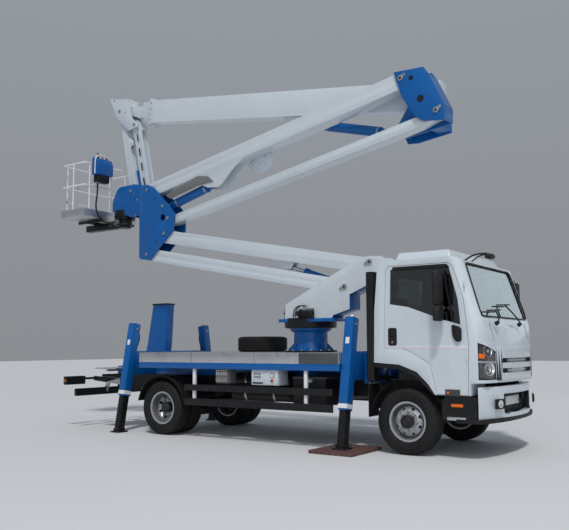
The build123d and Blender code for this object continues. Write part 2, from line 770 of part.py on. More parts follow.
def cab_body(inset):
    """Solid of the cab inside its skin, inset by a wall."""
    with BuildPart() as body:
        with BuildSketch(level(0)):
            cab_plan_outline(inset)
        extrude(amount=SCREEN_LOW)
        with BuildSketch(level(SCREEN_LOW)):
            cab_plan_outline(inset)
        rise = ROOF_CAP - SCREEN_LOW
        extrude(amount=rise, dir=(-SCREEN_RAKE, 0, 1))
        with BuildSketch(side(0)):
            cab_side_outline(inset)
        extrude(amount=CAB_HALF + 100, both=True, mode=Mode.INTERSECT)
    return body.part


def door_outline(inset):
    """Draw the door's outline on the side of the cab, inset by a gap."""
    with BuildLine() as line:
        Polyline(
            (-307, 1395), (-262, 2440), (-215, 2500), (640, 2500), (700, 2455), (838, 2020), (892, 1463),
            (869, 805), (440, 805), (355, 1190), (100, 1345), (-40, 1390), close=True,
        )
    make_face(line.edges())
    if inset:
        offset(amount=-inset, kind=Kind.INTERSECTION)


def door_window(inset):
    """Draw the door's window, inset by a gap."""
    with BuildLine() as line:
        Polyline(
            (-207, 1985), (-190, 2440), (-160, 2462), (610, 2462), (655, 2430), (760, 2020), (790, 1690),
            (560, 1756), (60, 1940), close=True,
        )
    make_face(line.edges())
    if inset:
        offset(amount=-inset, kind=Kind.INTERSECTION)


def screen_window(inset):
    """Draw the windscreen opening on the plane across the truck, inset by a gap."""
    with BuildLine() as line:
        Polyline(
            (-930, 1800), (930, 1800), (890, 2460), (860, 2500), (-860, 2500), (-890, 2460), close=True
        )
    make_face(line.edges())
    if inset:
        offset(amount=-inset, kind=Kind.INTERSECTION)


DOOR_DEPTH = 55
LAMP_LOW = 1000
LAMP_TOP = 1475
LAMP_INNER = 700
LAMP_DEPTH = 30
with BuildPart() as cab_room:
    add(cab_body(WALL))
    with BuildSketch(across(CAB_REAR - 50)):
        with Locations((0, (TUNNEL_TOP + WALL) / 2)):
            Rectangle(2 * (TUNNEL_HALF + WALL), TUNNEL_TOP + WALL)
    extrude(amount=1050 + WALL - CAB_REAR + 50, mode=Mode.SUBTRACT)

with BuildPart() as cab_full:
    add(cab_body(0))
    with BuildSketch(level(CAB_ROOF - 5)):
        with Locations((230, 0)):
            RectangleRounded(840, 1880, 60)
    extrude(amount=ROOF_CAP - CAB_ROOF + 5, taper=30)
    with BuildSketch(across(CAB_REAR - 50)):
        with Locations((0, TUNNEL_TOP / 2)):
            Rectangle(2 * TUNNEL_HALF, TUNNEL_TOP)
    extrude(amount=1050 - CAB_REAR + 50, mode=Mode.SUBTRACT)
    add(cab_room.part, mode=Mode.SUBTRACT)


def lamp_bands(inset):
    """Solid of the two headlamp places in front of the cab's plan outline inset by a depth."""
    with BuildPart() as band:
        with BuildSketch(level(LAMP_LOW - 4)):
            for hand in (1, -1):
                with Locations((1400, hand * (LAMP_INNER + 400))):
                    Rectangle(820, 800)
        extrude(amount=LAMP_TOP - LAMP_LOW + 8)
        with BuildSketch(level(LAMP_LOW - 10)):
            cab_plan_outline(inset)
        extrude(amount=LAMP_TOP - LAMP_LOW + 20, mode=Mode.SUBTRACT)
    return band.part


with BuildPart() as cab_shell:
    add(cab_full.part)
    for y in (CAB_HALF + 60, DOOR_DEPTH - CAB_HALF):
        with BuildSketch(side(y)):
            door_outline(0)
        extrude(amount=60 + DOOR_DEPTH, mode=Mode.SUBTRACT)
    with BuildSketch(across(600)):
        screen_window(0)
    extrude(amount=800, mode=Mode.SUBTRACT)
    with BuildSketch(across(CAB_REAR - 50)):
        with Locations((0, 2200)):
            RectangleRounded(900, 380, 60)
    extrude(amount=200, mode=Mode.SUBTRACT)
    add(lamp_bands(LAMP_DEPTH + 2), mode=Mode.SUBTRACT)
save(cab_shell.part, "cab_shell")

# Windscreen and rear window panes, inside the thickness of the shell
with BuildPart() as cab_glass:
    add(cab_body(14))
    add(cab_body(20), mode=Mode.SUBTRACT)
    with BuildSketch(across(600)):
        screen_window(1)
    extrude(amount=800, mode=Mode.INTERSECT)
with BuildPart() as rear_pane:
    with BuildSketch(across(CAB_REAR + 22)):
        with Locations((0, 2200)):
            RectangleRounded(898, 378, 59)
    extrude(amount=6)
save(Compound(label="cab_glass", children=list(cab_glass.part.solids()) + list(rear_pane.part.solids())), "cab_glass")

# Doors: the slice of the cab's wall inside the door outline, its pane and the mirrors on an arm
for name, hand in (("door_right", -1), ("door_left", 1)):
    with BuildPart() as door:
        add(cab_full.part)
        with BuildSketch(side(hand * (CAB_HALF - DOOR_DEPTH))):
            door_outline(GAP)
        extrude(amount=-hand * (DOOR_DEPTH + 60), mode=Mode.INTERSECT)
        with BuildSketch(side(0)):
            door_window(0)
        extrude(amount=-hand * (CAB_HALF + 100), mode=Mode.SUBTRACT)
        with BuildSketch(level(2330)):
            with Locations((570, hand * 1110)):
                Rectangle(24, 170)
        extrude(amount=24)
        with BuildSketch(level(1840)):
            with Locations((590, hand * 1110)):
                Rectangle(24, 170)
        extrude(amount=24)
        with BuildSketch(level(1800)):
            with Locations((565, hand * 1190)):
                RectangleRounded(70, 200, 20)
        extrude(amount=600)
    with BuildPart() as pane:
        add(cab_body(17))
        add(cab_body(22), mode=Mode.SUBTRACT)
        with BuildSketch(side(0)):
            door_window(1)
        extrude(amount=-hand * (CAB_HALF + 100), mode=Mode.INTERSECT)
    pieces = [door.part.solids().sort_by(SortBy.VOLUME)[-1]] + list(pane.part.solids())
    save(Compound(label=name, children=pieces), name)


def slab(points, y, width, mode=Mode.ADD):
    """Add a plate with this side outline to the open part, from y to y - width."""
    with BuildSketch(side(y)) as drawn:
        with BuildLine():
            Polyline(*points, close=True)
        make_face()
    extrude(drawn.sketch, amount=width, mode=mode)


def disc(point, radius, y, width, mode=Mode.ADD):
    """Add a round bar along y at a side position to the open part, from y to y - width."""
    with BuildSketch(side(y)) as drawn:
        with Locations(point):
            Circle(radius)
    extrude(drawn.sketch, amount=width, mode=mode)


def front_shape(name_low, name_high, inset, hand_width):
    """Solid between two heights in front of x = 900, inside the plan outline and a half width."""
    with BuildPart() as shape:
        with BuildSketch(level(name_low)):
            cab_plan_outline(inset)
        extrude(amount=name_high - name_low)
        with BuildSketch(level(name_low)):
            with Locations((1200, 0)):
                Rectangle(600, 2 * hand_width)
        extrude(amount=name_high - name_low, mode=Mode.INTERSECT)
    return shape.part


# Grille panel, proud of the cab's front, with two dark slots and a bare badge place
with BuildPart() as grille:
    add(front_shape(985, 1420, -28, LAMP_INNER - 8))
    add(cab_body(0), mode=Mode.SUBTRACT)
    with BuildSketch(across(1155)):
        for z in (1105, 1235):
            with Locations((0, z)):
                RectangleRounded(1180, 60, 15)
    extrude(amount=200, mode=Mode.SUBTRACT)
save(grille.part, "grille")

# Headlamps, let into the corners of the cab
with BuildPart() as headlamps:
    with BuildSketch(level(LAMP_LOW)):
        cab_plan_outline(3)
    extrude(amount=LAMP_TOP - LAMP_LOW)
    with BuildSketch(level(LAMP_LOW)):
        cab_plan_outline(LAMP_DEPTH)
    extrude(amount=LAMP_TOP - LAMP_LOW, mode=Mode.SUBTRACT)
    with BuildSketch(side(0)):
        cab_side_outline(4)
    extrude(amount=CAB_HALF + 100, both=True, mode=Mode.INTERSECT)
    with BuildSketch(level(LAMP_LOW)):
        for hand in (1, -1):
            with Locations((1200, hand * (LAMP_INNER + 4 + 250))):
                Rectangle(420, 500)
    extrude(amount=LAMP_TOP - LAMP_LOW, mode=Mode.INTERSECT)
save(headlamps.part, "headlamps")

# Cab interior: two seats, the engine cover between them, the dashboard and the steering wheel
SEAT_Y = 745
with BuildPart() as cab_interior:
    with BuildSketch(level(TUNNEL_TOP + WALL)):
        with Locations((100, 0)):
            Rectangle(900, 1120)
    extrude(amount=170)
    for hand in (1, -1):
        with BuildSketch(level(CAB_FLOOR)):
            with Locations((60, hand * SEAT_Y)):
                RectangleRounded(500, 400, 40)
        extrude(amount=515)
        slab(((-230, 1440), (-60, 1440), (-150, 2130), (-280, 2130)), hand * SEAT_Y + 200, 400)
    slab(((540, TUNNEL_TOP + WALL), (960, TUNNEL_TOP + WALL), (1000, 1560), (900, 1660), (650, 1560)), 990, 1980)
    wheel_tilt = Plane(origin=(FRONT_AXLE_X + 480, 560, 1640), x_dir=(0.9, 0, -0.44), z_dir=(0.44, 0, 0.9))
    with BuildSketch(wheel_tilt):
        Circle(225)
        Circle(200, mode=Mode.SUBTRACT)
        Rectangle(30, 410)
        Circle(45)
    extrude(amount=25)
    slab(((455, 1640), (505, 1640), (690, 1500), (640, 1470)), 590, 60)
    add(cab_body(WALL + 1), mode=Mode.INTERSECT)
save(cab_interior.part, "cab_interior")

# Front bumper on the chassis: shell, dark recess, blank plate and a lower lip, and the step boxes
with BuildPart() as front_bumper:
    with BuildSketch(level(508)):
        with BuildLine() as outer:
            Line((640, -1060), (960, -1060))
            ThreePointArc((960, -1060), (1200, 0), (960, 1060))
            Line((960, 1060), (640, 1060))
            Line((640, 1060), (640, -1060))
        make_face(outer.edges())
        fillet([v for v in vertices() if v.X > 900], 120)
        with Locations((600, 0)):
            Rectangle(760, 2200, mode=Mode.SUBTRACT)
        with Locations((700, 0)):
            Rectangle(740, 1120, mode=Mode.SUBTRACT)
    extrude(amount=905 - 508)
    with BuildSketch(level(560)):
        with Locations((1140, 0)):
            RectangleRounded(160, 1050, 20)
    extrude(amount=250, mode=Mode.SUBTRACT)
    with BuildSketch(across(RAIL_FRONT)):
        with Locations((0, 685)):
            Rectangle(1060, 260)
    extrude(amount=30)
    with BuildSketch(across(1060)):
        with Locations((0, 700)):
            Rectangle(520, 115)
    extrude(amount=22)
    with BuildSketch(across(RAIL_FRONT)):
        for hand in (1, -1):
            with Locations((hand * (RAIL_Y - 40), 760)):
                Rectangle(70, 110)
    extrude(amount=60)
save(front_bumper.part, "front_bumper")


def pin_row(points, y, width):
    """Add pins across y at several side positions to the open part."""
    for point in points:
        disc(point, PIN_R, y, width)


# Turret: base disc and plate on the slewing ring, two side plates, front flange and pins A and B
TURRET_OUTLINE = (
    (-2405, 1840), (-2396, 2086), (-1024, 2751), (-936, 2753), (-680, 2745), (-621, 2715), (-600, 2640),
    (-600, 2600), (-900, 2330), (-1218, 2200), (-1218, 1980), (-1500, 1900), (-1548, 1840),
)
PLATE_HIGH_Y = PANTO_Y + PLATE_HALF
PLATE_LOW_Y = PANTO_Y - PLATE_HALF
with BuildPart() as turret:
    with BuildSketch(level(TURRET_LOW)):
        with Locations((SLEW_X, 0)):
            Circle(SLEW_R - 20)
    extrude(amount=49)
    with BuildSketch(level(TURRET_LOW + 5)):
        with Locations(((-2520 - 1500) / 2, PANTO_Y)):
            Rectangle(1020, 2 * PLATE_HALF + 30)
    extrude(amount=50)
    slab(TURRET_OUTLINE, PLATE_HIGH_Y, PLATE_T)
    slab(TURRET_OUTLINE, PLATE_LOW_Y + PLATE_T, PLATE_T)
    slab(((-600, 2600), (-900, 2330), (-1218, 2200), (-1218, 1980), (-1500, 1900), (-1548, 1840), (-1575, 1840),
          (-1510, 1917), (-1236, 1994), (-1236, 2212), (-909, 2346), (-612, 2612)), PLATE_HIGH_Y, 2 * PLATE_HALF)
    slab(((-2142, 1850), (-2142, 2010), (-1850, 2010), (-1850, 1850)), PLATE_LOW_Y + PLATE_T + 2, PLATE_T + 4,
         mode=Mode.SUBTRACT)
    pin_row((PIN_A, PIN_B), PLATE_HIGH_Y + 6, 2 * PLATE_HALF + 12)
save(turret.part, "turret")


def arm(start, end, high, low, half, boss):
    """Add an arm between two pins to the open part, drawn from heights above and below its pin line."""
    length = hypot(end[0] - start[0], end[1] - start[1])
    with BuildSketch(arm_plane(start, end, PANTO_Y)) as drawn:
        with Locations((length / 2, (high + low) / 2)):
            Rectangle(length, high - low)
        for s in (0, length):
            with Locations((s, 0)):
                Circle(boss)
        for s in (0, length):
            with Locations((s, 0)):
                Circle(PIN_R + PIN_PLAY, mode=Mode.SUBTRACT)
    extrude(drawn.sketch, amount=half, both=True)


# Lower arm and the fork-ended link under it
LUG_S = 2772
BARREL_SLOT = 74
with BuildPart() as lower_arm:
    arm(PIN_C, PIN_A, 60, -175, ARM_HALF, 95)
    lug = on_arm(PIN_C, PIN_A, LUG_S, -250)
    for y in (PANTO_Y + LUG_HALF, PANTO_Y - LUG_HALF + 30):
        slab((shifted(lug, (-170, 130)), shifted(lug, (-60, -50)), shifted(lug, (60, -50)),
              shifted(lug, (190, 190))), y, 30)
    for y in (PANTO_Y + LUG_HALF + HEAD_T_PIN, PANTO_Y - LUG_HALF):
        disc(lug, PIN_R, y, HEAD_T_PIN)
    with BuildSketch(arm_plane(PIN_C, PIN_A, PANTO_Y)):
        with Locations((LUG_S + 48, -140)):
            Rectangle(430, 110)
    extrude(amount=LUG_HALF - 30, both=True, mode=Mode.SUBTRACT)
    with BuildSketch(arm_plane(PIN_C, PIN_A, PANTO_Y)):
        with Locations((LUG_S + 363, -160)):
            Rectangle(350, 90)
    extrude(amount=BARREL_SLOT, both=True, mode=Mode.SUBTRACT)
save(lower_arm.part, "lower_arm")
PIN_N1 = lug

with BuildPart() as lower_link:
    arm(PIN_D, PIN_B, 110, -110, ARM_HALF, 95)
    with BuildSketch(arm_plane(PIN_D, PIN_B, PANTO_Y)):
        with Locations((4297 - 625, 0)):
            Rectangle(1650, 400)
    extrude(amount=LINK_SLOT_HALF, both=True, mode=Mode.SUBTRACT)
save(lower_link.part, "lower_link")

# Rear knuckle between the two stages: two plates joined by a web, with the pins of both stages
KNUCKLE_1_OUTLINE = (
    (-5551, 4448), (-5690, 4420), (-5725, 4385), (-5740, 4311), (-5731, 3580), (-5720, 3090), (-5690, 3050),
    (-5437, 3011), (-4860, 3528), (-4838, 3834), (-4973, 3989), (-5060, 4060), (-5370, 4366),
)
PIN_M = (-5133, 3996)
with BuildPart() as knuckle_1:
    slab(KNUCKLE_1_OUTLINE, PLATE_HIGH_Y, PLATE_T)
    slab(KNUCKLE_1_OUTLINE, PLATE_LOW_Y + PLATE_T, PLATE_T)
    slab(((-5740, 4280), (-5731, 3580), (-5721, 3120), (-5701, 3120), (-5711, 3580), (-5720, 4280)),
         PLATE_HIGH_Y, 2 * PLATE_HALF)
    disc(PIN_M, 75, PLATE_HIGH_Y, PLATE_T)
    disc(PIN_M, 75, PLATE_LOW_Y + PLATE_T, PLATE_T)
    pin_row((PIN_C, PIN_D, PIN_E, PIN_F, PIN_M), PLATE_HIGH_Y + 6, 2 * PLATE_HALF + 12)
    disc((-5130, 3780), 60, PLATE_LOW_Y + PLATE_T + 2, PLATE_T + 4, mode=Mode.SUBTRACT)
save(knuckle_1.part, "knuckle_1")

# Upper arm with its rear cheeks and the saddle disc for the hoses, and the slim link under it
PIN_N = (-3962, 4302)
SADDLE = on_arm(PIN_E, PIN_G, 2440, -170)
SADDLE_R = 265
with BuildPart() as upper_arm:
    arm(PIN_E, PIN_G, 102, -150, ARM_HALF, 98)
    for y in (PANTO_Y + ARM_HALF, PANTO_Y - ARM_HALF + 30):
        slab(((-4560, 4430), (-4400, 4350), (-4080, 4210), (-3850, 4190), (-3765, 4234), (-3490, 4500),
              (-3200, 4680), (-4500, 4480)), y, 30)
    for y in (PANTO_Y + ARM_HALF + 6, PANTO_Y - ARM_HALF):
        disc(PIN_N, PIN_R, y, 6)
    disc(SADDLE, SADDLE_R, PANTO_Y + ARM_HALF + 34, 24)
    disc(SADDLE, 90, PANTO_Y + ARM_HALF + 20, 30)
save(upper_arm.part, "upper_arm")


with BuildPart() as upper_link:
    arm(PIN_F, PIN_H, 35, -125, ARM_HALF - 20, 84)
    link_length = hypot(*STAGE_2)
    with BuildSketch(arm_plane(PIN_F, PIN_H, PANTO_Y)):
        with BuildLine():
            Polyline((link_length - 320, -130), (link_length - 320, -125), (link_length - 60, -84), (link_length + 5, -84),
                     (link_length + 5, -130), close=True)
        make_face()
    extrude(amount=ARM_HALF, both=True, mode=Mode.SUBTRACT)
save(upper_link.part, "upper_link")

# Front knuckle: a plate on each side of the arms, a plate beyond the boom, and the boom's own pins
KNUCKLE_2_OUTLINE = (
    (-411, 5488), (66, 5469), (143, 5356), (374, 4853), (367, 4621), (45, 4661), (-83, 4751), (-290, 5090),
)
PIN_K = (-460, 4660)
FIN_OUTLINE = (
    (-411, 5488), (66, 5469), (143, 5356), (374, 4853), (367, 4640), (45, 4600), (-350, 4545), (-520, 4560),
    (-560, 4660), (-520, 4740), (-290, 5090),
)
FAR_OUTLINE = (
    (-120, 5010), (-95, 5100), (10, 5136), (115, 5100), (200, 4900), (200, 4620), (-350, 4545), (-520, 4560),
    (-560, 4660), (-500, 4745), (-250, 4800),
)
FAR_Y = BOOM_Y + BOOM_W / 2 + 15
with BuildPart() as knuckle_2:
    slab(KNUCKLE_2_OUTLINE, PLATE_LOW_Y + PLATE_T, PLATE_T)
    slab(FIN_OUTLINE, PLATE_HIGH_Y, PLATE_T)
    slab(FAR_OUTLINE, FAR_Y + PLATE_T, PLATE_T)
    slab(((120, 5356), (351, 4853), (344, 4640), (367, 4640), (374, 4853), (143, 5356)), PLATE_HIGH_Y,
         2 * PLATE_HALF)
    slab(((0, 4625), (200, 4640), (200, 4800), (0, 4780)), FAR_Y + PLATE_T, FAR_Y + PLATE_T - PLATE_HIGH_Y)
    pin_row((PIN_G, PIN_H), PLATE_HIGH_Y, 2 * PLATE_HALF + 6)
    disc(PIN_J, 48, FAR_Y + PLATE_T + 6, FAR_Y + PLATE_T + 6 - PLATE_HIGH_Y + PLATE_T)
    disc(PIN_K, PIN_R, FAR_Y + PLATE_T + 6, FAR_Y + PLATE_T + 6 - PLATE_HIGH_Y + PLATE_T)
save(knuckle_2.part, "knuckle_2")

# Telescopic boom: an open box with a collar, and the inner box with the fork for the head
BOOM_PLANE = Plane(
    origin=(FRONT_AXLE_X + PIN_J[0], BOOM_Y, PIN_J[1]), x_dir=(BOOM_DIR[0], 0, BOOM_DIR[1]), z_dir=(0, 1, 0)
)
BOOM_FACE = Plane(
    origin=(FRONT_AXLE_X + PIN_J[0], BOOM_Y, PIN_J[1]), x_dir=(0, -1, 0), z_dir=(BOOM_DIR[0], 0, BOOM_DIR[1])
)
BOOM_MID = (BOOM_LOW + BOOM_HIGH) / 2
BOOM_DEEP = BOOM_HIGH - BOOM_LOW
INNER_W = BOOM_W - 2 * (BOOM_SHEET + INNER_PLAY)
INNER_DEEP = BOOM_DEEP - 2 * (BOOM_SHEET + INNER_PLAY)
BUTT = 100
CYLINDER_LUG = (2550, -145)
with BuildPart() as boom_outer:
    with BuildSketch(BOOM_FACE.offset(-BUTT)):
        with Locations((0, BOOM_MID)):
            Rectangle(BOOM_W, BOOM_DEEP)
    extrude(amount=BUTT + 5930)
    with BuildSketch(BOOM_FACE.offset(5930)):
        with Locations((0, BOOM_MID)):
            Rectangle(BOOM_W + 30, BOOM_DEEP + 60)
    extrude(amount=100)
    with BuildSketch(BOOM_FACE.offset(260)):
        with Locations((0, BOOM_MID)):
            Rectangle(BOOM_W - 2 * BOOM_SHEET, BOOM_DEEP - 2 * BOOM_SHEET)
    extrude(amount=6030, mode=Mode.SUBTRACT)
    with BuildSketch(BOOM_PLANE):
        with Locations(CYLINDER_LUG):
            Circle(58)
        with Locations((CYLINDER_LUG[0] + 40, -95)):
            Rectangle(300, 78)
    extrude(amount=85, both=True)
    with BuildSketch(BOOM_PLANE):
        with Locations((CYLINDER_LUG[0] - 60, -146)):
            Rectangle(400, 170)
    extrude(amount=46, both=True, mode=Mode.SUBTRACT)
    with BuildSketch(BOOM_PLANE):
        Circle(49)
    extrude(amount=BOOM_W, both=True, mode=Mode.SUBTRACT)
save(boom_outer.part, "boom_outer")

FORK_START = TIP_REACH - 192
FORK_HALF = 110
FORK_T = 22
with BuildPart() as boom_inner:
    with BuildSketch(BOOM_FACE.offset(1300)):
        with Locations((0, BOOM_MID)):
            Rectangle(INNER_W, INNER_DEEP)
    extrude(amount=FORK_START - 1300)
    with BuildSketch(BOOM_PLANE):
        with BuildLine():
            Polyline((FORK_START - 60, BOOM_MID - 150), (TIP_REACH, TIP_RISE - 90), (TIP_REACH, TIP_RISE + 90),
                     (FORK_START - 60, BOOM_MID + 150), close=True)
        make_face()
        with Locations((TIP_REACH, TIP_RISE)):
            Circle(90)
    extrude(amount=FORK_HALF, both=True)
    with BuildSketch(BOOM_PLANE):
        with Locations((FORK_START + 250, BOOM_MID)):
            Rectangle(500, 600)
    extrude(amount=FORK_HALF - FORK_T, both=True, mode=Mode.SUBTRACT)
    with BuildSketch(BOOM_PLANE):
        with BuildLine():
            Polyline((FORK_START - 130, BOOM_LOW - 10), (FORK_START + 10, BOOM_LOW + 155), (FORK_START + 10, BOOM_LOW - 10),
                     close=True)
        make_face()
    extrude(amount=BOOM_W, both=True, mode=Mode.SUBTRACT)
    with BuildSketch(BOOM_PLANE):
        with Locations((TIP_REACH, TIP_RISE)):
            Circle(PIN_R)
    extrude(amount=FORK_HALF, both=True)
save(boom_inner.part, "boom_inner")

# Levelled head at the boom's tip: a hub in the fork and two plates that carry the jib's bars
HEAD_OUTLINE = from_tip(
    (-730, 400), (-190, 300), (-70, -120), (0, -180), (90, -250), (90, -320), (-170, -355),
    (-520, -30),
)
HEAD_HALF = 141
HEAD_T = 24
BAR_HALF = 82
ROTATOR_R = 205
with BuildPart() as head:
    for y in (BOOM_Y + HEAD_HALF, BOOM_Y - HEAD_HALF + HEAD_T):
        slab(HEAD_OUTLINE, y, HEAD_T)
    disc(TIP, 75, BOOM_Y + 80, 160)
    slab(from_tip((0, 75), (0, -75), (-150, -40), (-230, 80), (-230, 230), (-150, 230)), BOOM_Y + 80, 160)
    slab(from_tip((-170, -20), (-230, 80), (-290, 230), (-290, 300), (-170, 300), (-130, 140)),
         BOOM_Y + HEAD_HALF, 2 * HEAD_HALF)
    disc(TIP, PIN_R + PIN_PLAY, BOOM_Y + 100, 200, mode=Mode.SUBTRACT)
    for point in (JIB_TOP, JIB_LOW):
        disc(point, PIN_R, BOOM_Y + HEAD_HALF + 5, 2 * HEAD_HALF + 10)
save(head.part, "head")


def jib_bar(start, end, width, boss):
    """Add a jib bar between two pins to the open part."""
    length = hypot(end[0] - start[0], end[1] - start[1])
    with BuildSketch(arm_plane(start, end, BOOM_Y)) as drawn:
        with Locations((length / 2, 0)):
            Rectangle(length, width)
        for s in (0, length):
            with Locations((s, 0)):
                Circle(boss)
        for s in (0, length):
            with Locations((s, 0)):
                Circle(PIN_R + PIN_PLAY, mode=Mode.SUBTRACT)
    extrude(drawn.sketch, amount=BAR_HALF, both=True)


PIN_JIB_EYE = shifted(TIP, (-140, -600))
PIN_JIB_BASE = shifted(TIP, (130, -1800))
SMALL_PIN_R = 24
JIB_BAR_W = 158
JIB_POCKETS = ((650, 900, 40, 32), (880, 1030, 56, 46))
with BuildPart() as jib_arm:
    jib_bar(JIB_TOP, JIB_END_TOP, JIB_BAR_W, 80)
    for y in (BOOM_Y + 70, BOOM_Y - 40):
        slab(from_tip((-310, -420), (-230, -440), (-105, -560), (-100, -640), (-150, -660), (-270, -760)), y, 30)
    for y in (BOOM_Y + 76, BOOM_Y - 70):
        disc(PIN_JIB_EYE, SMALL_PIN_R, y, 6)
    for start, end, deep, half in JIB_POCKETS:
        with BuildSketch(arm_plane(JIB_TOP, JIB_END_TOP, BOOM_Y)):
            with Locations(((start + end) / 2, deep + 100)):
                Rectangle(end - start, 200)
        extrude(amount=half, both=True, mode=Mode.SUBTRACT)
save(jib_arm.part, "jib_arm")

with BuildPart() as jib_link:
    jib_bar(JIB_LOW, JIB_END_LOW, 200, 100)
    with BuildSketch(arm_plane(JIB_LOW, JIB_END_LOW, BOOM_Y)):
        with Locations((860, 0)):
            Rectangle(1460, 260)
    extrude(amount=50, both=True, mode=Mode.SUBTRACT)
save(jib_link.part, "jib_link")

# Jib end bracket with the basket's rotator
JIB_END_OUTLINE = from_tip(
    (-460, -1540), (-370, -1490), (30, -1480), (250, -1520), (470, -1860), (480, -2010), (410, -2060),
    (-20, -2140), (-150, -2090), (-580, -1970), (-580, -1770),
)
with BuildPart() as jib_end:
    for y in (BOOM_Y + HEAD_HALF, BOOM_Y - HEAD_HALF + HEAD_T):
        slab(JIB_END_OUTLINE, y, HEAD_T)
    slab(from_tip((-580, -1970), (-150, -1970), (-230, -1820), (-580, -1770)), BOOM_Y + HEAD_HALF, 2 * HEAD_HALF)
    with BuildSketch(level(BASKET_FLOOR - 10)):
        with Locations((ROTATOR_X, BOOM_Y)):
            Circle(ROTATOR_R)
    extrude(amount=135)
    for point in (JIB_END_TOP, JIB_END_LOW):
        disc(point, PIN_R, BOOM_Y + HEAD_HALF + 5, 2 * HEAD_HALF + 10)
    disc(PIN_JIB_BASE, SMALL_PIN_R, BOOM_Y + HEAD_HALF, 2 * HEAD_HALF)
save(jib_end.part, "jib_end")

# Basket: a base with floor, bearers and beam, and four bolted frames of round tube with kick plates
basket_mid = ((BASKET_FRONT + BASKET_REAR) / 2, BOOM_Y)
FRAME_LOW = BASKET_FLOOR + FLOOR_T - TREAD_T + SEAM
with BuildPart() as basket_rails:
    with BuildSketch(level(FRAME_LOW)):
        with Locations(basket_mid):
            RectangleRounded(BASKET_FRONT - BASKET_REAR, 2 * BASKET_HALF, 40)
            RectangleRounded(BASKET_FRONT - BASKET_REAR - 10, 2 * BASKET_HALF - 10, 36, mode=Mode.SUBTRACT)
    extrude(amount=BASKET_FLOOR + 165 - FRAME_LOW)
    for z in (BASKET_FLOOR + 610, BASKET_TOP - RAIL_D):
        with BuildSketch(level(z)):
            with Locations(basket_mid):
                RectangleRounded(BASKET_FRONT - BASKET_REAR, 2 * BASKET_HALF, 60)
                RectangleRounded(BASKET_FRONT - BASKET_REAR - 2 * RAIL_D, 2 * BASKET_HALF - 2 * RAIL_D, 40,
                                 mode=Mode.SUBTRACT)
        extrude(amount=RAIL_D)
    with BuildSketch(level(FRAME_LOW)):
        for x in (BASKET_FRONT - RAIL_D / 2, BASKET_REAR + RAIL_D / 2):
            for y in (-BASKET_HALF + 60, 0, BASKET_HALF - 60):
                with Locations((x, BOOM_Y + y)):
                    Circle(POST_D / 2)
        for hand in (1, -1):
            with Locations((basket_mid[0], BOOM_Y + hand * (BASKET_HALF - RAIL_D / 2))):
                Circle(POST_D / 2)
    extrude(amount=BASKET_TOP - 10 - FRAME_LOW)
    with BuildSketch(level(BASKET_FLOOR)):
        for hand in (1, -1):
            with Locations((basket_mid[0], BOOM_Y + hand * (BASKET_HALF - 40))):
                Rectangle(BASKET_L + 40, SEAM)
    extrude(amount=BASKET_H + 10, mode=Mode.SUBTRACT)
with BuildPart() as basket_base:
    with BuildSketch(level(BASKET_FLOOR)):
        with Locations(basket_mid):
            RectangleRounded(BASKET_FRONT - BASKET_REAR, 2 * BASKET_HALF, 40)
    extrude(amount=FLOOR_T - TREAD_T)
    with BuildSketch(level(BASKET_FLOOR + FLOOR_T - TREAD_T)):
        with Locations(basket_mid):
            Rectangle(BASKET_L - 2 * RAIL_D - 4, 2 * (BASKET_HALF - RAIL_D - 2))
    extrude(amount=TREAD_T)
    with BuildSketch(level(BASKET_FLOOR - 215)):
        with Locations((ROTATOR_X, BOOM_Y)):
            Circle(ROTATOR_R)
    extrude(amount=199)
    with BuildSketch(level(BASKET_FLOOR - 215)):
        with Locations(((ROTATOR_X + BASKET_REAR) / 2, BOOM_Y)):
            Rectangle(ROTATOR_X - BASKET_REAR, 180)
    extrude(amount=150)
    with BuildSketch(level(BASKET_FLOOR - 75)):
        for y in (-250, 250):
            with Locations((basket_mid[0], BOOM_Y + y)):
                Rectangle(BASKET_FRONT - BASKET_REAR - 40, 60)
        with Locations((basket_mid[0], BOOM_Y)):
            Rectangle(80, 560)
    extrude(amount=80)
basket_parts = list(basket_base.part.solids()) + list(basket_rails.part.solids())
print("basket solids", len(basket_parts))
save(Compound(label="basket", children=basket_parts), "basket")

# Control console on the basket's front rail
CONSOLE_LOW = BASKET_FLOOR + 690
with BuildPart() as console:
    with BuildSketch(level(CONSOLE_LOW)):
        with Locations((BASKET_FRONT + 95, BOOM_Y - 330)):
            RectangleRounded(180, 420, 20)
    extrude(amount=380)
    slab(((BASKET_FRONT + 5, CONSOLE_LOW + 380), (BASKET_FRONT + 185, CONSOLE_LOW + 380),
          (BASKET_FRONT + 150, CONSOLE_LOW + 490), (BASKET_FRONT + 5, CONSOLE_LOW + 515)),
         BOOM_Y - 130, 400)
save(console.part, "console")

# Hanging hose from the console to the rotator
HOSE_END = ROTATOR_R * cos(radians(45)) + 0.5
HOSE_X = BASKET_FRONT + 110
HOSE_Y = BOOM_Y - 460
HOSE_LOW = BASKET_FLOOR - 120
HOSE_POINTS = (
    (HOSE_X, HOSE_Y, CONSOLE_LOW - 10), (HOSE_X, HOSE_Y, CONSOLE_LOW - 240),
    (HOSE_X - 20, HOSE_Y - 30, CONSOLE_LOW - 510), (HOSE_X - 10, HOSE_Y + 60, HOSE_LOW + 100),
    (ROTATOR_X - HOSE_END - 120, BOOM_Y - HOSE_END - 120, HOSE_LOW),
    (ROTATOR_X - HOSE_END, BOOM_Y - HOSE_END, HOSE_LOW),
)


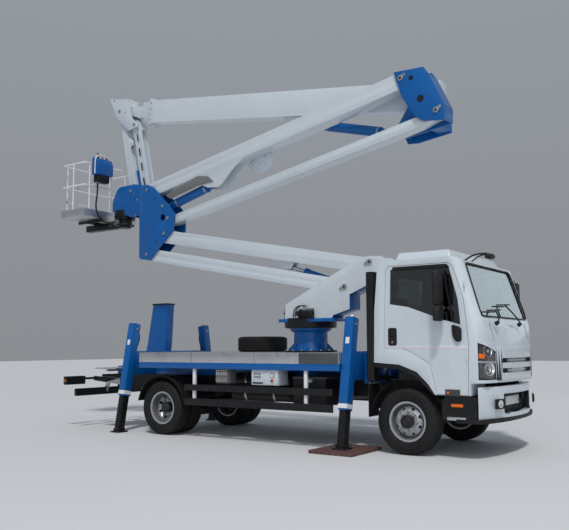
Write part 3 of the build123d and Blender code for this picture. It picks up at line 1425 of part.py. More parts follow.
def bend_radii(points):
    """Bend radius at each inner point of a path of straight runs."""
    out = []
    for before, here, after in zip(points, points[1:], points[2:]):
        back = [b - h for b, h in zip(before, here)]
        ahead = [a - h for a, h in zip(after, here)]
        run = min(hypot(*back), hypot(*ahead))
        cosine = sum(b * a for b, a in zip(back, ahead)) / (hypot(*back) * hypot(*ahead))
        half_turn = sqrt(max(0.0, (1 + cosine) / (1 - cosine)))
        out.append(0.45 * run / half_turn)
    return out


HOSE_RADII = bend_radii(HOSE_POINTS)
print("hose bend radii", [round(radius, 1) for radius in HOSE_RADII])
with BuildPart() as hose:
    with BuildLine() as hose_line:
        FilletPolyline(*[(FRONT_AXLE_X + x, y, z) for x, y, z in HOSE_POINTS], radius=HOSE_RADII)
    with BuildSketch(Plane(origin=hose_line.line @ 0, z_dir=hose_line.line % 0)):
        Circle(HOSE_D / 2)
    sweep(path=hose_line.line)
save(hose.part, "hose")

# Hydraulic cylinders: name, base pin, eye pin, y, barrel radius, rod radius, pin radius, barrel, rod
CYLINDER_TABLE = (
    ("lower_cylinder", PIN_B, PIN_N1, PANTO_Y, 60, 32, PIN_R, 860, 905),
    ("upper_cylinder", PIN_M, PIN_N, PANTO_Y, 58, 30, PIN_R, 1095, 1030),
    ("boom_cylinder", PIN_K, on_boom(*CYLINDER_LUG), BOOM_Y, 60, 34, PIN_R, 1640, 1760),
    ("jib_cylinder", PIN_JIB_BASE, PIN_JIB_EYE, BOOM_Y, 32, 20, SMALL_PIN_R, 640, 680),
)
BORE_START = 120
for name, base, eye, y, barrel_r, rod_r, pin_r, barrel_len, rod_len in CYLINDER_TABLE:
    reach = hypot(eye[0] - base[0], eye[1] - base[1])
    flat = arm_plane(base, eye, y)
    along = Plane(
        origin=(FRONT_AXLE_X + base[0], y, base[1]), x_dir=(0, 1, 0), z_dir=(eye[0] - base[0], 0, eye[1] - base[1])
    )
    with BuildPart() as barrel:
        with BuildSketch(flat):
            Circle(pin_r + 18)
        extrude(amount=barrel_r * 0.6, both=True)
        with BuildSketch(along.offset(pin_r + 8)):
            Circle(barrel_r)
        extrude(amount=barrel_len - pin_r - 8)
        with BuildSketch(along.offset(barrel_len - 60)):
            Circle(barrel_r + 6)
        extrude(amount=60)
        with BuildSketch(along.offset(BORE_START)):
            Circle(rod_r + 2)
        extrude(amount=barrel_len, mode=Mode.SUBTRACT)
        with BuildSketch(flat):
            Circle(pin_r + PIN_PLAY)
        extrude(amount=barrel_r + 20, both=True, mode=Mode.SUBTRACT)
    save(barrel.part, name)
    with BuildPart() as rod:
        with BuildSketch(along.offset(reach - rod_len)):
            Circle(rod_r)
        extrude(amount=rod_len - 10)
        with BuildSketch(flat):
            with Locations((reach, 0)):
                Circle(rod_r + 4)
        extrude(amount=rod_r + 4, both=True)
    save(rod.part, name.replace("cylinder", "rod"))
    print(name, "length", round(reach, 1))
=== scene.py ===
"""Truck-mounted cherry picker: finishes, small fittings, studio and camera, in metres."""
from __future__ import annotations

import json
import logging
from dataclasses import dataclass
from enum import Enum
from math import asin, atan2, cos, exp, hypot, radians, sin, tau
from typing import Callable, Iterable, Iterator, Sequence

import bmesh
import bpy
from mathutils import Matrix, Vector

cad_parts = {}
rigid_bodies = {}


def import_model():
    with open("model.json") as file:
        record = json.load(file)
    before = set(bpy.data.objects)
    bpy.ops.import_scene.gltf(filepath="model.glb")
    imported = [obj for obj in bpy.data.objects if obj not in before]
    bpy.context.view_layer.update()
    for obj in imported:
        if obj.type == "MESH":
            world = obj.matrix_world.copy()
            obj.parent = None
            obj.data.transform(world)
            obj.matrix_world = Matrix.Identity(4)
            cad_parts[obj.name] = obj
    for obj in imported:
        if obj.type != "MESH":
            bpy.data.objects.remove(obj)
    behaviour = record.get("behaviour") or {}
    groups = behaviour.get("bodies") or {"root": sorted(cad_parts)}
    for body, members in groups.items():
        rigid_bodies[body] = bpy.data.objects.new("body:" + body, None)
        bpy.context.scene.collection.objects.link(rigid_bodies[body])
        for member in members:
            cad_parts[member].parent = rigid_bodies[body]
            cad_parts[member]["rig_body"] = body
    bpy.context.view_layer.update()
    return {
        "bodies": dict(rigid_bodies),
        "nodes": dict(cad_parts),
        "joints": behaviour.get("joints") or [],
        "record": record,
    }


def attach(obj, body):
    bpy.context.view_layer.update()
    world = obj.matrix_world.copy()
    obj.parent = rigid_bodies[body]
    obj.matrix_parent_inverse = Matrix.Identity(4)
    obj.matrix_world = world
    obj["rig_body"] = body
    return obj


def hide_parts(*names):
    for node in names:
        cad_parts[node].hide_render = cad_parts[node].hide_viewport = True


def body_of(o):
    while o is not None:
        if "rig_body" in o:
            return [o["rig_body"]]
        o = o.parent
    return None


LOG = logging.getLogger("cherry_picker")
RGB = tuple[float, float, float]
Point = tuple[float, float, float]
Pair = tuple[float, float]
Section = Sequence[Pair]
Mesh, Corner, Edge, Face = bmesh.types.BMesh, bmesh.types.BMVert, bmesh.types.BMEdge, bmesh.types.BMFace
Material, Object, Socket = bpy.types.Material, bpy.types.Object, bpy.types.NodeSocket

AXLE = 3.303
AXLES = {"front": (0.0, 0.897), "rear": (-4.36, 0.988)}
WHEEL_RADIUS = 0.4335
CAB_HALF = 1.04
ARM_MIDDLE = 0.17
POLE = 0.0001
WELD = 2e-5
SHARP = 0.6
AHEAD, LEFT, UP = Vector((1, 0, 0)), Vector((0, 1, 0)), Vector((0, 0, 1))


def at(x: float, y: float, z: float) -> Vector:
    """Place a point, given from the front axle, the truck's middle and the ground, into the frame."""
    return Vector((x + AXLE, y, z))


def by(x: float, y: float, z: float) -> Vector:
    """Give a shift or a direction."""
    return Vector((x, y, z))


def around(count: int, start: float = 0.0) -> Iterator[Pair]:
    """Go round a circle in even steps.

    Args:
        count: Number of steps.
        start: Part of a step that the first one is turned on by.

    Yields:
        Cosine and sine of each step's angle.
    """
    for step in range(count):
        angle = tau * (step + start) / count
        yield cos(angle), sin(angle)


def turned(angle: float, axis: str = "Y") -> Matrix:
    """Give the rotation by an angle about one of the frame's axes."""
    return Matrix.Rotation(angle, 4, axis)


def frame_of(first: Vector, second: Vector, third: Vector) -> Matrix:
    """Give the rotation that turns x, y and z into three directions."""
    return Matrix((first, second, third)).transposed().to_4x4()


def link(name: str, data: bpy.types.ID) -> Object:
    """Put a mesh, curve, lamp or camera into the scene.

    Args:
        name: The object's name.
        data: What it shows.

    Returns:
        The object.
    """
    made = bpy.data.objects.new(name, data)
    bpy.context.collection.objects.link(made)
    return made


def publish(mesh: Mesh, name: str, finishes: Iterable[Material], smooth: float) -> Object:
    """Turn a bmesh into an object of the scene and free it.

    Args:
        mesh: The shapes.
        name: The object's name.
        finishes: Its materials in order.
        smooth: Angle up to which edges are shaded smooth.

    Returns:
        The object.
    """
    data = bpy.data.meshes.new(name)
    for edge in mesh.edges:
        edge.smooth = not (len(edge.link_faces) == 2 and edge.calc_face_angle(0.0) > smooth)
    for face in mesh.faces:
        face.smooth = True
    mesh.to_mesh(data)
    LOG.info("%s: %d faces", name, len(mesh.faces))
    mesh.free()
    for finish in finishes:
        data.materials.append(finish)
    return link(name, data)


def ease(mesh: Mesh, edges: list[Edge], width: float, steps: int = 2) -> None:
    """Round edges of a mesh off."""
    bmesh.ops.bevel(
        mesh, geom=edges, offset=width, segments=steps, profile=0.5, affect="EDGES", material=-1, clamp_overlap=True)


def edges_at(corners: Iterable[Corner]) -> list[Edge]:
    """Give every edge that ends at one of these corners."""
    return list({e for v in corners for e in v.link_edges})


def loop_of(ring: list[Corner]) -> list[Edge]:
    """Give the edges that join the corners of a ring."""
    return [e for e in {e for v in ring for e in v.link_edges} if all(v in ring for v in e.verts)]


def push_out(mesh: Mesh, faces: list[Face], push: Vector) -> None:
    """Give flat faces a thickness, as a direction and length."""
    made = bmesh.ops.extrude_face_region(mesh, geom=faces)
    bmesh.ops.translate(mesh, verts=[v for v in made["geom"] if isinstance(v, Corner)], vec=push)


class Shade:
    """A node material that is being put together."""

    def __init__(self, name: str, colour: RGB, roughness: float, **sockets: float) -> None:
        """Start a material with one shader.

        Args:
            name: The material's name.
            colour: Base colour, linear.
            roughness: Base roughness.
            **sockets: Other shader sockets, spaces written as underscores.
        """
        self.material = bpy.data.materials.new(name)
        self.material.use_nodes = True
        self.tree = self.material.node_tree
        self.shader = self.tree.nodes["Principled BSDF"]
        self.shader.inputs["Base Color"].default_value = (*colour, 1.0)
        self.shader.inputs["Roughness"].default_value = roughness
        for key, value in sockets.items():
            self.shader.inputs[key.replace("_", " ")].default_value = value
        self.place = self.tree.nodes.new("ShaderNodeTexCoord").outputs["Object"]

    def node(self, kind: str, settings: dict[str, object] | None = None, **links: object) -> bpy.types.Node:
        """Add a node, set its options and fill its sockets.

        Args:
            kind: The node's type name without its prefix.
            settings: Node options such as an operation.
            **links: Socket values or outputs, by socket name with underscores, or by i and its number.

        Returns:
            The new node.
        """
        made = self.tree.nodes.new("ShaderNode" + kind)
        for key, value in (settings or {}).items():
            setattr(made, key, value)
        for key, value in links.items():
            numbered = key[0] == "i" and key[1:].isdigit()
            self.fill(made.inputs[int(key[1:]) if numbered else key.replace("_", " ")], value)
        return made

    def fill(self, socket: Socket, value: object) -> None:
        """Join an output to a socket, or set the value that the socket holds."""
        if isinstance(value, Socket):
            self.tree.links.new(value, socket)
        else:
            socket.default_value = value

    def noise(self, scale: float, detail: float = 4.0, stretch: Point = (1.0, 1.0, 1.0)) -> Socket:
        """Noise over the object's own coordinates.

        Args:
            scale: Cells per metre.
            detail: Octaves.
            stretch: Scale along each axis.

        Returns:
            The noise value.
        """
        where = self.node("Mapping", Vector=self.place, Scale=stretch).outputs[0]
        return self.node("TexNoise", Vector=where, Scale=scale, Detail=detail).outputs[0]

    def band(self, value: Socket, low: float, high: float, start: float = 0.0, end: float = 1.0) -> Socket:
        """Map a value's band onto another, clamped."""
        return self.node("MapRange", i0=value, i1=low, i2=high, i3=start, i4=end).outputs[0]

    def height(self) -> Socket:
        """Height above the ground, as the piece lies at rest."""
        return self.node("SeparateXYZ", Vector=self.place).outputs[2]

    def times(self, first: Socket, second: object) -> Socket:
        """Multiply two values."""
        return self.node("Math", {"operation": "MULTIPLY"}, i0=first, i1=second).outputs[0]

    def blend(self, factor: Socket, low: object, high: object) -> Socket:
        """Mix two colours by a factor."""
        ends = [value if isinstance(value, Socket) else (*value, 1.0) for value in (low, high)]
        return self.node("Mix", {"data_type": "RGBA"}, i0=factor, i6=ends[0], i7=ends[1]).outputs[2]

    def colour(self, value: Socket) -> None:
        """Join a colour to the shader."""
        self.tree.links.new(value, self.shader.inputs["Base Color"])

    def rough(self, value: Socket) -> None:
        """Join a roughness to the shader."""
        self.tree.links.new(value, self.shader.inputs["Roughness"])

    def bump(self, value: Socket, strength: float, distance: float) -> None:
        """Add relief from a height value, over any relief before it."""
        made = self.node("Bump", Height=value, Strength=strength, Distance=distance)
        normal = self.shader.inputs["Normal"]
        if normal.is_linked:
            self.tree.links.new(normal.links[0].from_socket, made.inputs["Normal"])
        self.tree.links.new(made.outputs[0], normal)


@dataclass(frozen=True)
class Surface:
    """What every finish has: its material's name and its base colour."""

    name: str
    tint: RGB

    def shade(self, part: float, lift: float = 0.0) -> RGB:
        """Give a darker or lighter tint of the base colour."""
        return tuple(c * part + lift for c in self.tint)

    def material(self) -> Material:
        """Make the node material.

        Returns:
            The material.
        """
        raise NotImplementedError


@dataclass(frozen=True)
class Paint(Surface):
    """Sprayed lacquer: slight orange peel, faint rain streaks and road dust low down."""

    roughness: float = 0.3
    coat: float = 0.4
    dust: float = 0.35
    dust_top: float = 1.5
    metal: float = 0.0
    shine: float = 0.5

    def material(self) -> Material:
        """Make the node material."""
        made = Shade(
            self.name, self.tint, self.roughness, Coat_Weight=self.coat, Coat_Roughness=0.08, Metallic=self.metal,
            Specular_IOR_Level=self.shine)
        clouds = made.band(made.noise(1.3, 3.0), 0.35, 0.7)
        streaks = made.band(made.noise(9.0, 4.0, (1.0, 1.0, 0.12)), 0.5, 0.85)
        body = made.blend(made.times(clouds, 0.35), self.tint, self.shade(0.86))
        body = made.blend(made.times(streaks, 0.25), body, self.shade(0.8, 0.004))
        low = made.band(made.height(), 0.35, self.dust_top, 1.0, 0.0)
        specks = made.band(made.noise(22.0, 6.0), 0.42, 0.72)
        film = made.times(made.times(low, specks), self.dust)
        made.colour(made.blend(film, body, (0.24, 0.21, 0.17)))
        made.rough(made.band(film, 0.0, 0.6, self.roughness, 0.8))
        made.bump(made.noise(260.0, 2.0), 0.05, 0.0015)
        return made.material


@dataclass(frozen=True)
class Moulding(Surface):
    """Grained plastic or rubber, with dust in the grain."""

    roughness: float = 0.6
    grain: float = 420.0
    relief: float = 0.25
    dust: float = 0.3

    def material(self) -> Material:
        """Make the node material."""
        made = Shade(self.name, self.tint, self.roughness, Specular_IOR_Level=0.35)
        patch = made.band(made.noise(3.1, 5.0), 0.4, 0.75)
        low = made.band(made.height(), 0.1, 1.5, 1.0, 0.35)
        made.colour(made.blend(made.times(made.times(patch, low), self.dust), self.tint, (0.16, 0.145, 0.125)))
        made.rough(made.band(made.noise(14.0, 3.0), 0.3, 0.7, self.roughness - 0.08, self.roughness + 0.12))
        made.bump(made.noise(self.grain, 2.0), self.relief, 0.0008)
        return made.material


@dataclass(frozen=True)
class Metal(Surface):
    """Bare metal drawn or rolled along one direction, with handling marks."""

    roughness: float = 0.35
    stretch: Point = (0.06, 1.0, 1.0)
    marks: float = 0.35

    def material(self) -> Material:
        """Make the node material."""
        made = Shade(self.name, self.tint, self.roughness, Metallic=1.0)
        grain = made.noise(180.0, 3.0, self.stretch)
        stains = made.band(made.noise(4.0, 6.0), 0.45, 0.75)
        made.colour(made.blend(made.times(stains, self.marks), self.tint, self.shade(0.6)))
        made.rough(made.band(grain, 0.3, 0.7, self.roughness - 0.08, self.roughness + 0.14))
        made.bump(grain, 0.06, 0.0006)
        return made.material


@dataclass(frozen=True)
class Chequer(Surface):
    """Aluminium tread plate: rows of short raised bars, turned one way and the other."""

    tint: RGB = (0.52, 0.53, 0.54)
    pitch: float = 34.0

    def material(self) -> Material:
        """Make the node material."""
        made = Shade(self.name, self.tint, 0.42, Metallic=0.85)
        heights = []
        for turn, move in ((0.785, 0.0), (-0.785, 0.5)):
            where = made.node(
                "Mapping", Vector=made.place, Rotation=(0.0, 0.0, turn), Scale=(self.pitch, self.pitch * 0.36, 0.0),
                Location=(move, move * 0.5, 0.0))
            dots = made.node(
                "TexVoronoi", {"voronoi_dimensions": "2D"}, Vector=where.outputs[0], Scale=1.0, Randomness=0.0)
            heights.append(made.band(dots.outputs[0], 0.16, 0.3, 1.0, 0.0))
        bars = made.node("Math", {"operation": "MAXIMUM"}, i0=heights[0], i1=heights[1]).outputs[0]
        dirt = made.band(made.noise(2.4, 6.0), 0.4, 0.75)
        made.colour(made.blend(made.times(dirt, 0.5), self.tint, (0.2, 0.19, 0.17)))
        made.bump(bars, 0.6, 0.003)
        return made.material


@dataclass(frozen=True)
class Pane(Surface):
    """Tinted window glass that shows the inside darkly."""

    roughness: float = 0.02
    coat: float = 1.0

    def material(self) -> Material:
        """Make the node material."""
        made = Shade(
            self.name, self.tint, self.roughness, IOR=1.45, Transmission_Weight=1.0, Coat_Weight=self.coat,
            Coat_IOR=2.5, Coat_Roughness=0.01)
        made.rough(made.band(made.noise(2.2, 5.0), 0.5, 0.8, self.roughness, self.roughness + 0.06))
        return made.material


@dataclass(frozen=True)
class Cloth(Surface):
    """Woven seat cover."""

    def material(self) -> Material:
        """Make the node material."""
        made = Shade(self.name, self.tint, 0.9, Sheen_Weight=0.3)
        warp = made.node("TexWave", {"bands_direction": "X"}, Vector=made.place, Scale=160.0, Distortion=0.4).outputs[1]
        weft = made.node("TexWave", {"bands_direction": "Z"}, Vector=made.place, Scale=160.0, Distortion=0.4).outputs[1]
        weave = made.times(warp, weft)
        made.colour(made.blend(weave, self.shade(0.6), self.tint))
        made.bump(weave, 0.4, 0.001)
        return made.material


class Finish(Enum):
    """Every finish of the truck, with the name of a record's slot listed beside it."""

    # The white paint's blue-grey tint is partly painted shade: the cool cast of sky-lit shade is mixed into its base
    # colour.
    WHITE = (Paint("cab_white_with_painted_shade", (0.6, 0.665, 0.72), 0.26, 0.5, 0.12), "white_paint")
    BLUE = (Paint("crane_blue", (0.001, 0.105, 0.37), 0.33, 0.12, 0.05, shine=0.35), "blue_paint")
    BLACK = (Paint("chassis_black", (0.005, 0.0055, 0.007), 0.42, 0.05, 0.05, shine=0.3), "black_paint")
    PAD = (Paint("pad_maroon", (0.09, 0.03, 0.03), 0.65, 0.0, 0.4, 0.6), "black_paint")
    TAPE = (Paint("pale_tape", (0.71, 0.67, 0.76), 0.4, 0.3, 0.08), "white_paint")
    RIM = (Paint("rim_silver", (0.44, 0.46, 0.49), 0.34, 0.2, 0.15, 1.2, 0.55), "rim_paint")
    GUTTER = (Paint("rim_gutter", (0.1, 0.105, 0.115), 0.5, 0.0, 0.2, 1.2, 0.2), "rim_paint")
    HUB = (Paint("hub_grey", (0.012, 0.0125, 0.014), 0.45, 0.1, 0.08, 1.2, shine=0.35), "black_paint")
    BLOCK = (Paint("engine_grey", (0.16, 0.165, 0.17), 0.55, 0.0, 0.4), "grey_block")
    BAND = (Moulding("reflex_white", (0.78, 0.79, 0.8), 0.3, 900.0, 0.1, 0.15), "lamp_plastic")
    PLASTIC = (Moulding("trim_black", (0.006, 0.0065, 0.008), 0.55, 420.0, 0.2, 0.05), "black_plastic")
    GREY = (Moulding("trim_grey", (0.05, 0.053, 0.057), 0.55, 420.0, 0.2, 0.15), "black_plastic")
    SEAL = (Moulding("seal_black", (0.008, 0.008, 0.009), 0.45, 200.0, 0.1, 0.1), "rubber_hose")
    TYRE = (Moulding("tyre_rubber", (0.006, 0.0065, 0.0075), 0.75, 260.0, 0.3, 0.07), "tyre")
    HOSE = (Moulding("hose_rubber", (0.01, 0.01, 0.011), 0.5, 300.0, 0.15, 0.1), "rubber_hose")
    RAIL = (Paint("rail_tube", (0.8, 0.81, 0.83), 0.35, 0.3, 0.03), "aluminium")
    GREYBOARD = (Metal("front_board", (0.16, 0.165, 0.17), 0.5), "aluminium")
    ALU = (Metal("rail_aluminium", (0.62, 0.63, 0.65), 0.38), "aluminium")
    STEEL = (Metal("bolt_zinc", (0.5, 0.5, 0.48), 0.35, (1.0, 1.0, 1.0)), "chrome_rod")
    CHROME = (Metal("rod_chrome", (0.8, 0.8, 0.82), 0.12, (1.0, 1.0, 1.0), 0.15), "chrome_rod")
    PLATE = (Chequer("tread_plate"), "aluminium")
    GLASS = (Pane("window_glass", (0.5, 0.6, 0.63)), "glass")
    DOOR_GLASS = (Pane("door_glass", (0.1, 0.13, 0.135), coat=0.35), "glass")
    LENS = (Pane("lamp_lens", (0.92, 0.94, 0.96), 0.02, 0.15), "lamp_plastic")
    AMBER = (Moulding("lens_amber", (0.75, 0.16, 0.01), 0.2, 500.0, 0.1, 0.1), "lamp_plastic")
    RED = (Moulding("lens_red", (0.5, 0.01, 0.01), 0.2, 500.0, 0.1, 0.1), "lamp_plastic")
    SEAT = (Cloth("seat_cloth", (0.06, 0.065, 0.075)), "fabric")

    @property
    def slot(self) -> str:
        """The record's slot name that is listed with this finish."""
        return self.value[1]

    def shader(self) -> Material:
        """Give this finish's material, made once."""
        maker = self.value[0]
        return bpy.data.materials.get(maker.name) or maker.material()


NODES_OF: dict[Finish, str] = {
    Finish.BLACK: "chassis_frame axles",
    Finish.BLUE: "subframe pedestal boom_rest knuckle_1 knuckle_2 jib_end console",
    Finish.ALU: "deck rear_bumper basket",
    Finish.BLOCK: "engine",
    Finish.PLASTIC: "tanks_and_intake side_guards mudguards",
    Finish.WHITE: "control_cabinet front_bumper cab_shell grille door_right door_left turret lower_arm lower_link"
                  " upper_arm upper_link boom_outer boom_inner head jib_arm jib_link",
    Finish.TYRE: "spare_wheel",
    Finish.GLASS: "cab_glass",
    Finish.LENS: "headlamps",
    Finish.SEAT: "cab_interior",
    Finish.HOSE: "hose",
}
NODE_FINISH = {node: finish for finish, nodes in NODES_OF.items() for node in nodes.split()}
ENDINGS: dict[str, Finish] = {"_cylinder": Finish.BLUE, "_rod": Finish.CHROME}
STARTS: dict[str, Finish] = {
    "tyre_": Finish.TYRE, "wheel_": Finish.RIM, "leg_": Finish.BLACK, "steering_knuckle": Finish.BLACK,
}


def node_finish(node: str) -> Finish:
    """Look up a node's finish.

    Args:
        node: The node's name.

    Returns:
        Its finish.
    """
    if node in NODE_FINISH:
        return NODE_FINISH[node]
    ends = [finish for tail, finish in ENDINGS.items() if node.endswith(tail)]
    starts = [finish for head, finish in STARTS.items() if node.startswith(head)]
    return (ends + starts)[0]


class Dresser:
    """Gives each carried-over node its finish, by face where a node has more than one."""

    def __init__(self, frame: dict) -> None:
        self.nodes = frame["nodes"]

    def dress(self) -> None:
        """Give every node its main finish."""
        for name, node in self.nodes.items():
            node.data.materials.clear()
            node.data.materials.append(node_finish(name).shader())
        LOG.info("dressed %d nodes", len(self.nodes))

    def patch(self, name: str, finish: Finish, picks: Callable[[Vector, Vector], bool]) -> None:
        """Give part of a node another finish.

        Args:
            name: The node.
            finish: The other finish.
            picks: Whether a face, by its middle and normal, takes it.
        """
        mesh = self.nodes[name].data
        mesh.materials.append(finish.shader())
        slot = len(mesh.materials) - 1
        for face in mesh.polygons:
            if picks(face.center - at(0, 0, 0), face.normal):
                face.material_index = slot


class Patches:
    """Second finishes on the faces of carried-over nodes."""

    def __init__(self, dresser: Dresser) -> None:
        """Keep what sets a second finish on a node that the dresser dressed."""
        self.patch = dresser.patch

    def build(self) -> None:
        """Set every patch."""
        self.chassis()
        self.arms()
        self.wheels()

    def chassis(self) -> None:
        """Feet, deck, slewing ring, control bank, bumpers, lamps and cab."""
        feet = [(f"leg_front_{side}", Finish.PAD, lambda c, n: c.z < 0.0415) for side in ("left", "right")]
        rows = (
            *feet,
            ("deck", Finish.PLATE, lambda c, n: c.z > 1.325 and n.z > 0.9),
            ("deck", Finish.GREYBOARD, lambda c, n: abs(n.y) > 0.9 and c.x > -1.62),
            ("pedestal", Finish.HUB, lambda c, n: c.z > 1.715),
            ("pedestal", Finish.BLACK, lambda c, n: c.z < 1.365),
            ("control_cabinet", Finish.BLOCK, lambda c, n: c.x < -2.9),
            ("rear_bumper", Finish.BLACK, lambda c, n: c.x < -6.4),
            ("boom_rest", Finish.PLASTIC, lambda c, n: c.z > 2.22),
            # Black on the grille's slot walls and backs is painted shade, so that the shallow slots read as deep
            # openings.
            ("grille", Finish.PLASTIC, lambda c, n: 1.07 < c.z < 1.27 and (abs(n.z) > 0.9 or c.x < 1.16)),
            ("tanks_and_intake", Finish.ALU, lambda c, n: c.y > 0.3 and c.z < 1.01),
            ("tanks_and_intake", Finish.BLACK, lambda c, n: -0.75 < c.y < -0.5 and c.z < 0.95 and c.x < -1.9),
            ("axles", Finish.HUB, lambda c, n: abs(c.y) > 0.35 and c.z > 0.47),
            ("mudguards", Finish.BLACK, lambda c, n: c.x > 0.4),
            ("side_guards", Finish.RAIL, lambda c, n: min(abs(c.x + 3.64), abs(c.x + 1.52)) < 0.03),
            ("front_bumper", Finish.PLASTIC, lambda c, n: abs(c.y) < 0.54 and c.x < 1.13 and 0.55 < c.z < 0.82),
            ("front_bumper", Finish.BAND, lambda c, n: abs(c.y) < 0.265 and 1.055 < c.x < 1.09 and 0.64 < c.z < 0.76),
            ("cab_shell", Finish.GREY, lambda c, n: 0.99 < c.z < 1.485 and 0.02 < CabTrim.depth(c) < 0.036),
        )
        for row in rows:
            self.patch(*row)
        for side in ("left", "right"):
            self.patch(
                f"door_{side}", Finish.DOOR_GLASS,
                lambda c, n: 1.0155 < abs(c.y) < 1.0248 and abs(n.y) > 0.8 and c.z > 1.6)
            self.patch(f"door_{side}", Finish.PLASTIC, lambda c, n: abs(c.y) > 1.045)

    def arms(self) -> None:
        """Turret's web and flange, and the jib's turning gear."""
        rows = (
            ("turret", Finish.BLUE, lambda c, n: c.z < 1.858),
            ("turret", Finish.BLACK, lambda c, n: c.z < 1.8505 and hypot(c.x + 2.15, c.y) < 0.382 and abs(n.y) < 0.999),
            (
                "turret", Finish.BLUE,
                lambda c, n: c.x > -1.58 and abs(n.y) < 0.2 and -0.332 < c.y < -0.058 and (
                    n.x > 0.1 or n.z < -0.1) and c.z < 2.62),
            ("jib_end", Finish.BLACK, lambda c, n: hypot(c.x + 6.7, c.y - ARM_MIDDLE) < 0.21 and 3.99 < c.z < 4.145),
        )
        for row in rows:
            self.patch(*row)

    def wheels(self) -> None:
        """Dark gutters and hubs on the silver wheels."""
        for end, (x, _) in AXLES.items():
            for side in ("left", "right"):
                wheel = f"wheel_{end}_{side}"
                self.patch(wheel, Finish.GUTTER, lambda c, n, x=x: 0.19 < hypot(c.x - x, c.z - WHEEL_RADIUS) < 0.234)
                self.patch(wheel, Finish.HUB, lambda c, n, x=x: hypot(c.x - x, c.z - WHEEL_RADIUS) < 0.0885)


class Softener:
    """Stands in for carried-over nodes with copies whose outer edges are rounded."""

    def __init__(self, frame: dict) -> None:
        self.nodes = frame["nodes"]

    def build(self) -> None:
        """Round the nodes that show."""
        rows = (
            (0.007, ("boom_outer", "boom_inner", "lower_arm", "lower_link", "upper_arm", "upper_link")),
            (0.005, ("jib_arm", "jib_link", "boom_rest", "front_bumper")),
            (0.0025, ("knuckle_1", "knuckle_2", "turret", "head", "jib_end", "subframe", "deck")),
            (0.0025, ("side_guards", "control_cabinet", "rear_bumper", "grille")),
            (0.005, ("leg_front_left", "leg_front_right", "leg_rear_left", "leg_rear_right")),
        )
        for width, names in rows:
            for name in names:
                self.soften(name, width)
        self.soften("cab_shell", 0.003, 0.035)

    def soften(self, name: str, width: float, roof: float = 0.0) -> None:
        """Put a rounded copy in a node's place.

        Args:
            name: The node.
            width: Width of the rounding.
            roof: Width on the cab's roof edges and pillars, when it has them.
        """
        node = self.nodes[name]
        mesh = bmesh.new()
        mesh.from_mesh(node.data)
        bmesh.ops.remove_doubles(mesh, verts=list(mesh.verts), dist=WELD)
        bmesh.ops.dissolve_limit(
            mesh, angle_limit=radians(0.7), verts=list(mesh.verts), edges=list(mesh.edges), delimit={"MATERIAL"})
        if roof:
            self.round_off(mesh, roof, 4, self.on_roof)
        self.round_off(mesh, width, 2, lambda edge: True)
        made = publish(mesh, name + "_rounded", node.data.materials, SHARP)
        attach(made, body_of(node)[0])
        node_finish(name).slot
        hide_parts(name)

    @staticmethod
    def on_roof(edge: Edge) -> bool:
        """Tell whether an edge is on the outside of the cab's roof or pillars."""
        spots = [v.co - at(0, 0, 0) for v in edge.verts]
        if min(p.z for p in spots) < 1.75:
            return False
        outer = [abs(p.y) > 1.03 or p.z > 2.574 or p.x < -0.425 for p in spots]
        return all(outer) and edge.calc_length() > 0.02

    @staticmethod
    def round_off(mesh: Mesh, width: float, steps: int, picks: Callable[[Edge], bool]) -> None:
        """Bevel the outward edges that are picked."""
        edges = [
            e for e in mesh.edges if len(e.link_faces) == 2 and e.is_convex and e.calc_face_angle(0.0) > 0.45
            and picks(e)]
        if edges:
            ease(mesh, edges, width, steps)


